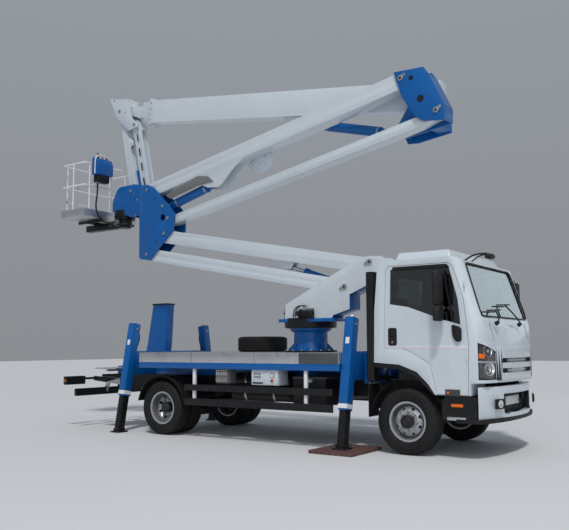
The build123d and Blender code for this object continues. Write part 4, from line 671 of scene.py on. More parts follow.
class Piece:
    """A new rigid piece: shapes are added to one bmesh, then it rides on a body."""

    def __init__(self, name: str, body: str, finish: Finish) -> None:
        """Start an empty piece.

        Args:
            name: The piece's name.
            body: The body that it rides on.
            finish: Its main finish, which other shapes of it may leave.
        """
        self.name = name
        self.body = body
        self.finishes = [finish]
        self.mesh = bmesh.new()

    def index(self, finish: Finish | None) -> int:
        """Material index of a finish on this piece, added when new."""
        if finish is None:
            return 0
        if finish not in self.finishes:
            self.finishes.append(finish)
        return self.finishes.index(finish)

    def fresh(self, before: set) -> list[Face]:
        """Give the faces made since a moment when these were there."""
        return [f for f in self.mesh.faces if f not in before]

    def keep(self, before: set, finish: Finish | None) -> list[Corner]:
        """Give the faces made since a moment a finish.

        Args:
            before: Faces that were there before.
            finish: Their finish, or none for the main one.

        Returns:
            The corners of the new faces.
        """
        slot = self.index(finish)
        fresh = self.fresh(before)
        for face in fresh:
            face.material_index = slot
        return list({v for f in fresh for v in f.verts})

    def box(
        self, centre: Vector, size: Point, round_by: float = 0.004, finish: Finish | None = None,
        turn: Matrix | None = None, segments: int = 2) -> list[Corner]:
        """Add a block with rounded edges.

        Args:
            centre: Its middle.
            size: Its lengths along its own axes.
            round_by: Width of the rounding.
            finish: Its finish, or none for the main one.
            turn: Its rotation.
            segments: Steps of the rounding.

        Returns:
            Its corners.
        """
        before = set(self.mesh.faces)
        spot = Matrix.Translation(centre) @ (turn or Matrix()) @ Matrix.Diagonal((*size, 1.0))
        made = bmesh.ops.create_cube(self.mesh, size=1.0, matrix=spot)
        if round_by > 0:
            ease(self.mesh, edges_at(made["verts"]), round_by, segments)
        return self.keep(before, finish)

    def rod(
        self, start: Vector, end: Vector, radius: float, sides: int = 20, finish: Finish | None = None,
        tip: float | None = None, chamfer: float = 0.0) -> None:
        """Add a round or many-sided bar, straight or tapered.

        Args:
            start: Middle of one end.
            end: Middle of the other.
            radius: Radius at the start.
            sides: Number of sides.
            finish: Its finish, or none for the main one.
            tip: Radius at the end, when it tapers.
            chamfer: Width of the rounding at both rims.
        """
        before = set(self.mesh.faces)
        axis = end - start
        spot = Matrix.Translation((start + end) / 2) @ axis.to_track_quat("Z", "Y").to_matrix().to_4x4()
        made = bmesh.ops.create_cone(
            self.mesh, cap_ends=True, segments=sides, radius1=radius, radius2=radius if tip is None else tip,
            depth=axis.length, matrix=spot)
        if chamfer > 0:
            rims = [e for e in edges_at(made["verts"]) if any(len(f.verts) > 4 for f in e.link_faces)]
            ease(self.mesh, rims, chamfer)
        self.keep(before, finish)

    def lathe(
        self, centre: Vector, axis: Vector, profile: Section, steps: int = 48, finish: Finish | None = None) -> None:
        """Spin a closed section of (radius, place along the axis) round an axis.

        Args:
            centre: Point on the axis where the place is zero.
            axis: Direction of the axis.
            profile: Corners of the section, in order.
            steps: Steps round the circle.
            finish: Its finish, or none for the main one.
        """
        before = set(self.mesh.faces)
        axis = axis.normalized()
        out = axis.orthogonal().normalized()
        ring = [self.mesh.verts.new(centre + out * r + axis * s) for r, s in profile]
        edges = [self.mesh.edges.new((ring[i], ring[(i + 1) % len(ring)])) for i in range(len(ring))]
        bmesh.ops.spin(
            self.mesh, geom=ring + edges, cent=centre, axis=axis, angle=tau, steps=steps, use_merge=True,
            use_duplicate=False)
        corners = self.keep(before, finish)
        bmesh.ops.remove_doubles(self.mesh, verts=corners, dist=1e-5)
        self.keep(before, finish)

    def knob(self, centre: Vector, axis: Vector, profile: Section, steps: int, finish: Finish | None = None) -> None:
        """Spin a section with flat ends into a solid.

        Args:
            centre: Point on the axis where the place is zero.
            axis: Direction of the axis.
            profile: Corners of the section off the axis, as (radius, place along the axis).
            steps: Steps round the circle.
            finish: Its finish, or none for the main one.
        """
        self.lathe(centre, axis, [(POLE, profile[0][1]), *profile, (POLE, profile[-1][1])], steps, finish)

    def plate(
        self, outline: Iterable[Vector], push: Vector, round_by: float = 0.0, finish: Finish | None = None) -> None:
        """Push a flat outline out into a plate.

        Args:
            outline: Corners in order.
            push: Thickness as a direction and length.
            round_by: Width of the rounding on its edges.
            finish: Its finish, or none for the main one.
        """
        before = set(self.mesh.faces)
        face = self.mesh.faces.new([self.mesh.verts.new(p) for p in outline])
        push_out(self.mesh, [face], push)
        fresh = self.fresh(before)
        bmesh.ops.recalc_face_normals(self.mesh, faces=fresh)
        if round_by > 0:
            ease(self.mesh, list({e for f in fresh for e in f.edges}), round_by)
        self.keep(before, finish)

    def pipe(self, route: Sequence[Vector], radius: float, sides: int = 10, finish: Finish | None = None) -> None:
        """Add a bent tube along a route, with its corners eased.

        Args:
            route: Corners of the route.
            radius: The tube's radius.
            sides: Sides of the tube.
            finish: Its finish, or none for the main one.
        """
        points: list[Vector] = [route[0]]
        for before_point, corner, after in zip(route, route[1:], route[2:]):
            reach = min((corner - before_point).length, (after - corner).length) * 0.45
            first = corner + (before_point - corner).normalized() * reach
            last = corner + (after - corner).normalized() * reach
            for step in range(7):
                t = step / 6
                points.append(first * (1 - t) ** 2 + corner * 2 * t * (1 - t) + last * t ** 2)
        points.append(route[-1])
        before = set(self.mesh.faces)
        rings = []
        side = (points[1] - points[0]).orthogonal().normalized()
        for i, point in enumerate(points):
            along = (points[min(i + 1, len(points) - 1)] - points[max(i - 1, 0)]).normalized()
            side = (side - along * side.dot(along)).normalized()
            spot = Matrix.Translation(point) @ frame_of(side, along.cross(side), along)
            made = bmesh.ops.create_circle(self.mesh, cap_ends=False, radius=radius, segments=sides, matrix=spot)
            rings.append(made["verts"])
        for ring, following in zip(rings, rings[1:]):
            bmesh.ops.bridge_loops(self.mesh, edges=loop_of(ring) + loop_of(following))
        for ring in (rings[0], rings[-1]):
            bmesh.ops.contextual_create(self.mesh, geom=loop_of(ring))
        bmesh.ops.recalc_face_normals(self.mesh, faces=self.fresh(before))
        self.keep(before, finish)

    def bolt(
        self, place: Vector, axis: Vector, across: float = 0.024, washer: bool = True,
        finish: Finish | None = Finish.STEEL) -> None:
        """Add a hexagon head on its washer.

        Args:
            place: Point on the surface under it.
            axis: Direction that the head points to.
            across: Size of the head.
            washer: Whether a washer lies under it.
            finish: Its finish.
        """
        axis = axis.normalized()
        if washer:
            self.rod(place, place + axis * across * 0.12, across * 0.8, 16, finish)
        self.rod(place, place + axis * across * 0.55, across * 0.55, 6, finish, chamfer=across * 0.05)

    def done(self, *replaced: str, smooth: float = SHARP) -> Object:
        """Turn the shapes into an object that rides on the body.

        Args:
            *replaced: Nodes that it takes the place of.
            smooth: Angle up to which edges are shaded smooth.

        Returns:
            The object.
        """
        made = publish(self.mesh, self.name, [finish.shader() for finish in self.finishes], smooth)
        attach(made, self.body)
        self.finishes[0].slot
        if replaced:
            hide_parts(*replaced)
        return made


@dataclass
class TyreSet:
    """Tyres with a cut tread and lettering-free sidewalls, in place of the plain rings."""

    radius: float = WHEEL_RADIUS
    bead: float = 0.252
    half: float = 0.131
    blocks: int = 54
    pitch: float = 0.3

    def section(self) -> list[Pair]:
        """Half of the section from the bead to the middle rib, as (radius, place along the axle)."""
        side = (
            (0.0, 0.046), (0.015, 0.046), (0.019, 0.024), (0.027, 0.018), (0.034, 0.0165), (0.038, 0.011),
            (0.046, 0.0095), (0.066, 0.004), (0.088, 0.0005), (0.104, 0.0), (0.108, 0.0035))
        tread = (
            (-0.052, 0.0065), (-0.048, 0.0035), (-0.036, 0.007), (-0.03, 0.0135), (-0.016, 0.023), (-0.013, 0.03),
            (-0.013, 0.073), (-0.003, 0.074), (-0.001, 0.077), (0.0, 0.1015), (-0.003, 0.1035), (-0.013, 0.1045),
            (-0.013, 0.1115), (-0.003, 0.1125), (0.0, 0.1145))
        rows = [(self.bead + rise, place) for rise, place in side] + [
            (self.radius + rise, place) for rise, place in tread]
        return [(radius, place - self.half) for radius, place in rows]

    def ring(self, piece: Piece, centre: Vector, axis: Vector) -> None:
        """Add one tyre to a piece.

        Args:
            piece: The piece.
            centre: The tyre's middle.
            axis: Its axle's direction.
        """
        near = self.section()
        far = [(r, -s) for r, s in reversed(near)]
        piece.lathe(centre, axis, near + far, 96)
        out = axis.orthogonal().normalized()
        along = axis.cross(out)
        for side in (-1, 1):
            before = set(piece.mesh.faces)
            turn = frame_of(along, axis * side, out)
            length = tau * self.radius / self.blocks
            centre_block = centre + out * (self.radius - 0.012) + axis * side * (self.half - 0.0475)
            corners = piece.box(centre_block, (length - 0.009, 0.043, 0.022), 0.0025, turn=turn, segments=1)
            low = [
                v for v in corners if (v.co - centre).dot(axis) * side > self.half - 0.034
                and (v.co - centre_block).dot(out) > 0]
            bmesh.ops.translate(piece.mesh, verts=low, vec=-out * 0.0035 - axis * side * 0.002)
            fresh = piece.fresh(before)
            parts = fresh + list({e for f in fresh for e in f.edges}) + list({v for f in fresh for v in f.verts})
            others = self.blocks - 1
            bmesh.ops.spin(
                piece.mesh, geom=parts, cent=centre, axis=axis, angle=tau * others / self.blocks, steps=others,
                use_duplicate=True)

    def build(self) -> None:
        """Build the tyres of every wheel and the spare."""
        for end, (x, y) in AXLES.items():
            for name, hand in (("left", 1), ("right", -1)):
                piece = Piece(f"treaded_tyre_{end}_{name}", f"wheel_body_{end}_{name}", Finish.TYRE)
                self.ring(piece, at(x, hand * y, self.radius), by(0, hand, 0))
                if end == "rear":
                    self.ring(piece, at(x, hand * (y - self.pitch), self.radius), by(0, hand, 0))
                piece.done(f"tyre_{end}_{name}", smooth=0.5)
        spare = Piece("spare_wheel_treaded", "chassis", Finish.TYRE)
        centre = at(-3.45, 0.45, 1.333 + self.half)
        self.ring(spare, centre, UP)
        spare.lathe(centre, UP, [
            (0.252, -0.11), (0.252, 0.11), (0.24, 0.112), (0.225, 0.04), (0.2, 0.035), (0.1, 0.07), (0.08, 0.07),
            (0.08, 0.055), (0.1, 0.055), (0.2, 0.02), (0.225, -0.09)], 64, Finish.RIM)
        for c, s in around(8):
            foot, head = (centre + by(0.14 * c, 0.14 * s, rise) for rise in (0.05, 0.0555))
            spare.rod(foot, head, 0.013, 16, Finish.SEAL)
        spare.rod(centre + by(0, 0, 0.03), centre + by(0, 0, 0.095), 0.02, 16, Finish.STEEL, chamfer=0.003)
        spare.box(centre + by(0, 0, 0.078), (0.19, 0.06, 0.012), 0.003, Finish.BLACK)
        spare.done("spare_wheel", smooth=0.5)


@dataclass
class WheelFittings:
    """Hub caps, stud nuts and valves on the four wheels."""

    radius: float = WHEEL_RADIUS
    studs: int = 8
    stud_ring: float = 0.125
    cap_ring: float = 0.069

    def build(self) -> None:
        """Build the fittings of every wheel."""
        for end, (x, y) in AXLES.items():
            disc, reach = (0.07, 0.055) if end == "front" else (-0.07, 0.09)
            for name, hand in (("left", 1), ("right", -1)):
                piece = Piece(f"hub_fittings_{end}_{name}", f"wheel_body_{end}_{name}", Finish.HUB)
                out = by(0, hand, 0)
                face = at(x, hand * (y + disc), self.radius)
                base = face + out * reach
                piece.knob(base, out, [
                    (0.084, -0.012), (0.086, -0.004), (0.08, 0.004), (0.058, 0.008), (0.055, 0.014), (0.05, 0.018),
                    (0.03, 0.019), (0.026, 0.016)], 40)
                for c, s in around(self.studs, 0.5):
                    piece.bolt(base + by(c, 0, s) * self.cap_ring + out * 0.003, out, 0.012, False, Finish.HUB)
                for c, s in around(self.studs):
                    nut = face + by(c, 0, s) * self.stud_ring
                    piece.rod(nut, nut + out * 0.006, 0.026, 24, Finish.STEEL, tip=0.021)
                    piece.rod(nut + out * 0.024, nut + out * 0.038, 0.0115, 14, Finish.STEEL, chamfer=0.002)
                piece.rod(
                    face + by(0.19, 0, 0.05) - out * 0.01, face + by(0.205, 0, 0.055) + out * 0.05, 0.006, 10,
                    Finish.SEAL, tip=0.004)
                piece.done()


@dataclass
class CabTrim:
    """Seals, wipers, mirrors, handles, lamps and the lower trim of the cab."""

    half: float = CAB_HALF
    bow: float = 4.225
    corner: float = 0.22
    corner_at: Pair = (0.8702, 0.82)
    screen_low: Pair = (1.045, 1.74)
    screen_high: Pair = (0.8, 2.53)

    @classmethod
    def depth(cls, spot: Vector) -> float:
        """Tell how deep a point lies under the rounded front of the cab."""
        across = abs(spot.y)
        if across < 0.865:
            return cls.bow - hypot(spot.x - (1.175 - cls.bow), across)
        return cls.corner - hypot(spot.x - cls.corner_at[0], across - cls.corner_at[1])

    def wrap(
        self, piece: Piece, hand: int, span: Pair, low: Pair, high: Pair, proud: float, thick: float,
        finish: Finish) -> None:
        """Lay a strip on the headlamp's corner, from its inner edge (0) round to its outer edge (1).

        Args:
            piece: The piece.
            hand: Side of the cab.
            span: Where the strip starts and ends.
            low: Height of its lower edge at both ends.
            high: Height of its upper edge at both ends.
            proud: How far its back stands off the skin.
            thick: Its thickness.
            finish: Its finish.
        """
        before = set(piece.mesh.faces)
        made = bmesh.ops.create_grid(piece.mesh, x_segments=12, y_segments=1, size=1.0)
        for vert in made["verts"]:
            t, rise = (vert.co.x + 1) / 2, (vert.co.y + 1) / 2
            u = span[0] + (span[1] - span[0]) * t
            if u < 0.486:
                y = 0.704 + (0.865 - 0.704) * u / 0.486
                middle, reach, angle = (1.175 - self.bow, 0.0), self.bow, asin(y / self.bow)
            else:
                middle, reach, angle = self.corner_at, self.corner, 0.206 + (0.995 - 0.206) * (u - 0.486) / 0.514
            x, y = middle[0] + (reach + proud) * cos(angle), middle[1] + (reach + proud) * sin(angle)
            bottom, top = low[0] + (low[1] - low[0]) * t, high[0] + (high[1] - high[0]) * t
            vert.co = at(x, hand * y, bottom + (top - bottom) * rise)
        fresh = piece.fresh(before)
        bmesh.ops.recalc_face_normals(piece.mesh, faces=fresh)
        if fresh[0].normal.x < 0:
            bmesh.ops.reverse_faces(piece.mesh, faces=fresh)
        bmesh.ops.solidify(piece.mesh, geom=fresh, thickness=-thick)
        piece.keep(before, finish)

    def ring(self, piece: Piece, outline: Sequence[Vector], width: float, push: Vector, finish: Finish) -> None:
        """Add a flat frame inside an outline.

        Args:
            piece: The piece.
            outline: Corners in order.
            width: Width of the frame.
            push: Its thickness as a direction and length.
            finish: Its finish.
        """
        before = set(piece.mesh.faces)
        face = piece.mesh.faces.new([piece.mesh.verts.new(p) for p in outline])
        made = bmesh.ops.inset_region(piece.mesh, faces=[face], thickness=width, use_even_offset=True)
        bmesh.ops.delete(piece.mesh, geom=[face], context="FACES_ONLY")
        push_out(piece.mesh, [f for f in made["faces"] if f.is_valid], push)
        bmesh.ops.recalc_face_normals(piece.mesh, faces=piece.fresh(before))
        piece.keep(before, finish)

    def rounded(self, points: Section, radius: float) -> list[Pair]:
        """Ease the corners of a flat outline.

        Args:
            points: Corners in order.
            radius: How far each corner is eased.

        Returns:
            The eased outline.
        """
        eased = []
        for i, point in enumerate(points):
            here = Vector(point)
            back, ahead = Vector(points[i - 1]) - here, Vector(points[(i + 1) % len(points)]) - here
            reach = min(radius, back.length * 0.45, ahead.length * 0.45)
            first, last = here + back.normalized() * reach, here + ahead.normalized() * reach
            for t in (0.0, 0.25, 0.5, 0.75, 1.0):
                spot = first * (1 - t) ** 2 + here * 2 * t * (1 - t) + last * t ** 2
                eased.append((spot.x, spot.y))
        return eased

    def build(self) -> None:
        """Build every trim piece."""
        self.doors()
        self.screen()
        self.front()

    def doors(self) -> None:
        """Seal, handle, mirrors and lower panel of both doors."""
        grown = [
            (-0.222, 1.975), (-0.205, 2.446), (-0.168, 2.476), (0.615, 2.476), (0.67, 2.438), (0.775, 2.022),
            (0.806, 1.668), (0.555, 1.74), (0.052, 1.926)]
        for side, hand in (("right", -1), ("left", 1)):
            out = by(0, hand, 0)
            piece = Piece(f"door_trim_{side}", f"door_{side}_body", Finish.SEAL)

            def on(x: float, proud: float, z: float) -> Vector:
                """Give a point that stands off the door's skin."""
                return at(x, hand * self.half + hand * proud, z)

            order = grown if hand < 0 else list(reversed(grown))
            self.ring(piece, [on(x, -0.003, z) for x, z in self.rounded(order, 0.05)], 0.024, out * 0.006, Finish.SEAL)
            piece.box(on(0.625, -0.018, 2.06), (0.016, 0.02, 0.7), 0.003, turn=turned(-0.16))
            bowl = self.rounded([(-0.235, 1.43), (-0.235, 1.666), (-0.107, 1.666), (-0.107, 1.43)], 0.03)
            piece.plate([on(x, -0.001, z) for x, z in bowl], out * 0.006, 0.002, Finish.PLASTIC)
            piece.box(on(-0.171, 0.012, 1.6), (0.1, 0.016, 0.075), 0.006, Finish.PLASTIC)
            piece.rod(on(-0.171, 0.004, 1.475), on(-0.171, 0.009, 1.475), 0.014, 20, Finish.STEEL)
            foot = self.rounded([(0.675, 1.7), (0.803, 1.655), (0.8, 1.48), (0.735, 1.472), (0.69, 1.54)], 0.04)
            piece.plate([on(x, -0.002, z) for x, z in foot], out * 0.035, 0.008, Finish.PLASTIC)
            piece.box(on(0.2925, 0.0004, 1.409), (1.17, 0.0016, 0.036), 0.0004, Finish.TAPE)
            ahead = 0.24 if hand > 0 else 0.0
            for low, high in ((1.93, 2.385), (1.735, 1.905)):
                mid = at(0.56 + ahead, hand * 1.19, (low + high) / 2)
                self.mirror(piece, mid, high - low)
            for z in (2.342, 1.852):
                arm = ((0.6, 1.02, z - 0.1), (0.6, 1.045, z), (0.57 + ahead, 1.1, z), (0.56 + ahead, 1.19, z))
                piece.pipe([at(x, hand * y, rise) for x, y, rise in arm], 0.011, 12, Finish.PLASTIC)
            post = [at(0.565 + ahead, hand * 1.105, z) for z in (1.8, 2.4)]
            piece.rod(*post, 0.012, 14, Finish.PLASTIC, chamfer=0.003)
            piece.box(on(0.66, 0.004, 0.831), (0.2, 0.008, 0.085), 0.003, Finish.GREY)
            piece.rod(on(0.6, 0.006, 0.831), on(0.6, 0.016, 0.831), 0.018, 20, Finish.AMBER, chamfer=0.003)
            piece.done()

    def mirror(self, piece: Piece, mid: Vector, tall: float) -> None:
        """Add a mirror head: a rounded shell with its glass let in at the back.

        Args:
            piece: The piece.
            mid: Its middle.
            tall: Its height.
        """
        before = set(piece.mesh.faces)
        spot = Matrix.Translation(mid) @ Matrix.Diagonal((0.085, 0.215, tall, 1.0))
        made = bmesh.ops.create_cube(piece.mesh, size=1.0, matrix=spot)
        front = [v for v in made["verts"] if v.co.x > mid.x]
        bmesh.ops.scale(piece.mesh, verts=front, vec=(1.0, 0.82, 0.9), space=Matrix.Translation(-mid))
        ease(piece.mesh, edges_at(made["verts"]), 0.026, 4)
        back = [f for f in piece.fresh(before) if f.normal.x < -0.98 and f.calc_area() > 0.005]
        piece.keep(before, Finish.PLASTIC)
        inner = bmesh.ops.inset_region(piece.mesh, faces=back, thickness=0.008, use_even_offset=True)
        bmesh.ops.translate(piece.mesh, verts=list({v for f in back for v in f.verts}), vec=(0.006, 0, 0))
        for faces, finish in ((inner["faces"], Finish.PLASTIC), (back, Finish.CHROME)):
            for face in faces:
                face.material_index = piece.index(finish)

    def screen(self) -> None:
        """Windscreen seal, wipers and the wide-angle mirror over its near corner."""
        piece = Piece("windscreen_trim", "cab", Finish.SEAL)
        foot_x, foot_z = self.screen_low
        lean = (self.screen_high[0] - foot_x) / (self.screen_high[1] - foot_z)
        window = self.rounded([(-0.93, 1.8), (0.93, 1.8), (0.875, 2.5), (-0.875, 2.5)], 0.09)
        start = (0.0, 1.8)
        piece.pipe([
            at(foot_x + (z - foot_z) * lean + 0.003, y, z)
            for y, z in [start, *window[5:], *window[:5], start]], 0.012, 10)
        for foot, reach, rise in ((-0.61, 0.16, 0.1), (0.31, -0.3, 0.19)):
            root = at(1.122, foot, 1.712)
            tip_z = 1.79 + rise
            tip = at(foot_x + (tip_z - foot_z) * lean + 0.045, foot + reach, tip_z)
            piece.rod(root - by(0.03, 0, 0.01), root + by(0.02, 0, 0.02), 0.03, 20, tip=0.022, chamfer=0.004)
            piece.pipe([root + by(0.015, 0, 0.012), (root + tip) / 2 + by(0.03, 0, 0), tip], 0.01, 8)
            sweep = by(0, 0.26, 0.012)
            inward = by(0.022, 0, 0)
            piece.rod(tip - sweep - inward, tip + sweep - inward, 0.01, 6)
            piece.pipe([tip - sweep * 0.5 - inward, tip, tip + sweep * 0.5 - inward], 0.006, 6)
        piece.pipe([at(0.76, -0.83, 2.515), at(0.93, -0.86, 2.6), at(1.1, -0.86, 2.6)], 0.011, 10)
        piece.pipe([at(0.78, -0.55, 2.545), at(0.95, -0.7, 2.6), at(1.1, -0.8, 2.6)], 0.009, 10)
        self.mirror(piece, at(1.12, -0.8, 2.565), 0.07)
        piece.done()

    def front(self) -> None:
        """Lamps, slots, blank plate and the bumper's fog lamps."""
        lamps = Piece("headlamp_units", "cab", Finish.CHROME)
        for hand in (1, -1):
            for x, y, z, radius in ((1.062, 0.86, 1.36, 0.075), (1.075, 0.85, 1.13, 0.085)):
                out = by(0.86, hand * 0.5, 0).normalized()
                spot = at(x, hand * y, z)
                lamps.lathe(spot, out, [
                    (POLE, -0.03), (radius * 0.5, -0.024), (radius, 0.006), (radius, 0.01), (radius * 0.94, 0.01),
                    (radius * 0.5, -0.018), (POLE, -0.022)], 32)
                lamps.lathe(spot, out, [(POLE, -0.03), (0.02, -0.028), (0.02, -0.004), (POLE, 0.0)], 20, Finish.BAND)
            strips = (
                ((0.0, 1.0), (1.345, 1.462), (1.478, 1.479), 0.0005, 0.006, Finish.WHITE),
                ((0.0, 1.0), (1.336, 1.453), (1.345, 1.462), 0.0005, 0.004, Finish.SEAL),
                ((0.0, 1.0), (1.2, 1.212), (1.222, 1.234), -0.002, 0.006, Finish.RIM),
                ((0.0, 1.0), (0.998, 0.998), (1.012, 1.012), -0.002, 0.005, Finish.SEAL),
                ((0.72, 0.97), (1.262, 1.268), (1.318, 1.33), -0.004, 0.004, Finish.AMBER),
            )
            for strip in strips:
                self.wrap(lamps, hand, *strip)
        lamps.done()
        bumper = Piece("bumper_fittings", "chassis", Finish.PLASTIC)
        arc = [
            (0.7, 1.045), (0.93, 1.045), (1.0, 1.02), (1.06, 0.94), (1.1, 0.8), (1.145, 0.6), (1.175, 0.35),
            (1.188, 0.0)]
        front = arc + [(x, -y) for x, y in reversed(arc[:-1])]
        lip = [at(x, y, 0.508) for x, y in front] + [at(x - 0.05, y * 0.95, 0.508) for x, y in reversed(front)]
        bumper.plate(lip, by(0, 0, -0.055), 0.006)
        for hand in (1, -1):
            bumper.box(at(1.1645, hand * 0.44, 0.578), (0.012, 0.13, 0.032), 0.005, turn=turned(hand * 0.14, "Z"))
        for hand in (1, -1):
            spot = at(1.142, hand * 0.7, 0.69)
            out = by(0.94, hand * 0.32, 0).normalized()
            bumper.box(spot + out * 0.004, (0.02, 0.17, 0.125), 0.006, turn=turned(hand * 0.33, "Z"))
            bumper.lathe(spot + out * 0.016, out, [
                (POLE, -0.004), (0.045, 0.0), (0.05, 0.006), (0.044, 0.006), (POLE, 0.002)], 28, Finish.CHROME)
        bumper.done()


@dataclass
class BasketHose:
    """The hose that hangs from the console's box to the rotator, with a sleeve at each end."""

    diameter: float = 0.032
    length: float = 1.035

    def route(self) -> list[Vector]:
        """Give the points that steer the hose, from the console down to the rotator."""
        return [
            at(-7.0, -0.29, 4.69), at(-7.0, -0.29, 4.46), at(-7.02, -0.32, 4.19),
            at(-7.01, -0.23, 3.99), at(-6.965, -0.095, 3.89), at(-6.845, 0.025, 3.89),
        ]

    def build(self) -> None:
        """Build the hose as one smooth curve and its two sleeves."""
        route = self.route()
        curve = bpy.data.curves.new("basket_hose", "CURVE")
        curve.dimensions = "3D"
        curve.bevel_depth = self.diameter / 2
        curve.bevel_resolution = 5
        curve.resolution_u = 16
        curve.use_fill_caps = True
        line = curve.splines.new("NURBS")
        line.points.add(len(route) - 1)
        for point, place in zip(line.points, route):
            point.co = (*place, 1.0)
        line.order_u = 3
        line.use_endpoint_u = True
        curve.materials.append(Finish.HOSE.shader())
        made = link("basket_hose", curve)
        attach(made, "basket_body")
        Finish.HOSE.slot
        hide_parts("hose")
        sleeves = Piece("hose_sleeves", "basket_body", Finish.HOSE)
        for end, inner in ((route[0], route[1]), (route[-1], route[-2])):
            along = (inner - end).normalized()
            sleeves.rod(end - along * 0.012, end + along * 0.012, 0.031, 6, Finish.STEEL, chamfer=0.002)
            sleeves.rod(end + along * 0.012, end + along * 0.058, 0.025, 24, tip=0.0175, chamfer=0.002)
        sleeves.done()


@dataclass
class Basket:
    """The work basket: tread floor, kick boards, round rails, drop bar, beam and turning gear."""

    front: float = -7.11
    rear: float = -7.8095
    middle: float = ARM_MIDDLE
    half: float = 0.7
    floor: float = 4.006
    tube: float = 0.017
    bend: float = 0.12
    foot: float = 0.0265
    rails: tuple[float, ...] = (4.633, 5.084)
    kick: float = 0.15

    def loop(self, piece: Piece, z: float) -> None:
        """Add one rail that runs round the basket.

        Args:
            piece: The piece.
            z: Height of the rail's middle.
        """
        inset = self.tube
        lo, hi = self.middle - self.half + inset, self.middle + self.half - inset
        back, ahead = self.rear + inset, self.front - inset
        corners = [(ahead, lo), (ahead, hi), (back, hi), (back, lo)]
        start = at((back + ahead) / 2, lo, z)
        route = [start]
        for i, (x, y) in enumerate(corners):
            spot = at(x, y, z)
            ways = [by(ox - x, oy - y, 0).normalized() for ox, oy in (corners[i - 1], corners[(i + 1) % 4])]
            route += [spot + ways[0] * self.bend, spot, spot + ways[1] * self.bend]
        piece.pipe([*route, start], self.tube, 14)

    def posts(self) -> list[Pair]:
        """Give the places of the upright tubes as (x, y)."""
        inset = self.tube
        ends = [(x, self.middle + y) for x in (self.front - inset, self.rear + inset) for y in (-0.56, 0.0, 0.56)]
        sides = [((self.front + self.rear) / 2, self.middle + hand * (self.half - inset)) for hand in (1, -1)]
        return ends + sides

    def build(self) -> None:
        """Build the basket and what hangs under it."""
        self.frame()
        self.beam()

    def frame(self) -> None:
        """Rails, posts, floor and kick boards."""
        piece = Piece("basket_frame", "basket_body", Finish.RAIL)
        for z in self.rails:
            self.loop(piece, z)
        for x, y in self.posts():
            piece.rod(at(x, y, self.floor + 0.02), at(x, y, self.rails[1]), 0.0145, 14)
            for z in self.rails:
                piece.rod(at(x, y, z - 0.024), at(x, y, z - 0.012), 0.0165, 14, chamfer=0.002)
            foot_x = min(max(x, self.rear + self.foot), self.front - self.foot)
            foot_y = self.middle + min(max(y - self.middle, self.foot - self.half), self.half - self.foot)
            piece.box(at(foot_x, foot_y, self.floor + 0.033), (0.05, 0.05, 0.008), 0.002, Finish.ALU)
        length, width = self.front - self.rear, 2 * self.half
        mid = at((self.front + self.rear) / 2, self.middle, 0)
        piece.box(mid + by(0, 0, self.floor + 0.014), (length - 0.012, width - 0.012, 0.022), 0.002, Finish.PLATE)
        half_way, top = self.floor + self.kick / 2, self.floor + self.kick
        boards = (
            (0, self.half - 0.0025, half_way, (length, 0.004, self.kick)),
            (0, self.half - 0.009, top, (length - 0.01, 0.016, 0.004)),
            (length / 2 - 0.0025, 0, half_way, (0.004, width - 0.01, self.kick)),
            (length / 2 - 0.009, 0, top, (0.016, width - 0.02, 0.004)),
        )
        for hand in (1, -1):
            for x, y, z, size in boards:
                piece.box(mid + by(hand * x, hand * y, z), size, 0.0015, Finish.ALU)
            for step in range(6):
                along = -length / 2 + 0.07 + step * 0.112
                rivet = mid + by(along, hand * (self.half - 0.001), self.floor + 0.035)
                piece.rod(rivet, rivet + by(0, hand * 0.003, 0), 0.006, 10, Finish.STEEL)
        gate = at(self.rear + self.tube, self.middle, 4.36)
        piece.pipe([gate + Vector(shift) for shift in ((0, -0.545, 0), (-0.002, 0, -0.01), (0, -0.02, 0))], 0.012, 12)
        hinge = [gate + by(0, -0.56, z) for z in (-0.03, 0.03)]
        piece.rod(*hinge, 0.0165, 14, Finish.STEEL, chamfer=0.003)
        for hand in (1, -1):
            hook = at((self.front + self.rear) / 2 + 0.1, self.middle + hand * (self.half - 0.05), self.rails[0] - 0.05)
            piece.lathe(hook, AHEAD, [
                (0.019, -0.004), (0.019, 0.004), (0.027, 0.004), (0.027, -0.004)], 24, Finish.STEEL)
        piece.done("basket")

    def beam(self) -> None:
        """Carrying beam, cross arms and the turning gear's lower half."""
        piece = Piece("basket_beam", "basket_body", Finish.BLACK)
        turn_x = -6.7
        mid = (turn_x - 0.1 + self.rear + 0.03) / 2
        piece.box(at(mid, self.middle, 3.866), (turn_x - 0.1 - self.rear - 0.03, 0.14, 0.13), 0.008)
        for y in (-0.25, 0.25):
            piece.box(at((self.front + self.rear) / 2, self.middle + y, 3.965), (0.64, 0.05, 0.06), 0.006)
        piece.box(at((self.front + self.rear) / 2, self.middle, 3.95), (0.08, 0.56, 0.05), 0.006)
        piece.knob(at(turn_x, self.middle, 3.795), UP, [
            (0.12, 0.0), (0.125, 0.006), (0.125, 0.03), (0.19, 0.036), (0.196, 0.044), (0.196, 0.062), (0.15, 0.07),
            (0.15, 0.15), (0.17, 0.156), (0.203, 0.16), (0.203, 0.194), (0.198, 0.199)], 56)
        for c, s in around(12):
            piece.bolt(at(turn_x + 0.178 * c, self.middle + 0.178 * s, 3.857), UP, 0.016)
        piece.box(at(turn_x - 0.05, self.middle - 0.16, 3.9), (0.13, 0.09, 0.09), 0.006, Finish.BLOCK)
        for step in range(3):
            spot = at(turn_x - 0.09 + 0.04 * step, self.middle - 0.2, 3.9)
            piece.rod(spot, spot + by(0, -0.03, 0), 0.011, 6, Finish.STEEL)
            line = (
                (0, -0.028, 0), (0, -0.075, 0), (-0.02, -0.085, -0.06), (-0.13, -0.04, -0.075), (-0.17, 0.1, -0.045))
            piece.pipe([spot + Vector(shift) for shift in line], 0.0075, 10, Finish.HOSE)
        piece.done()


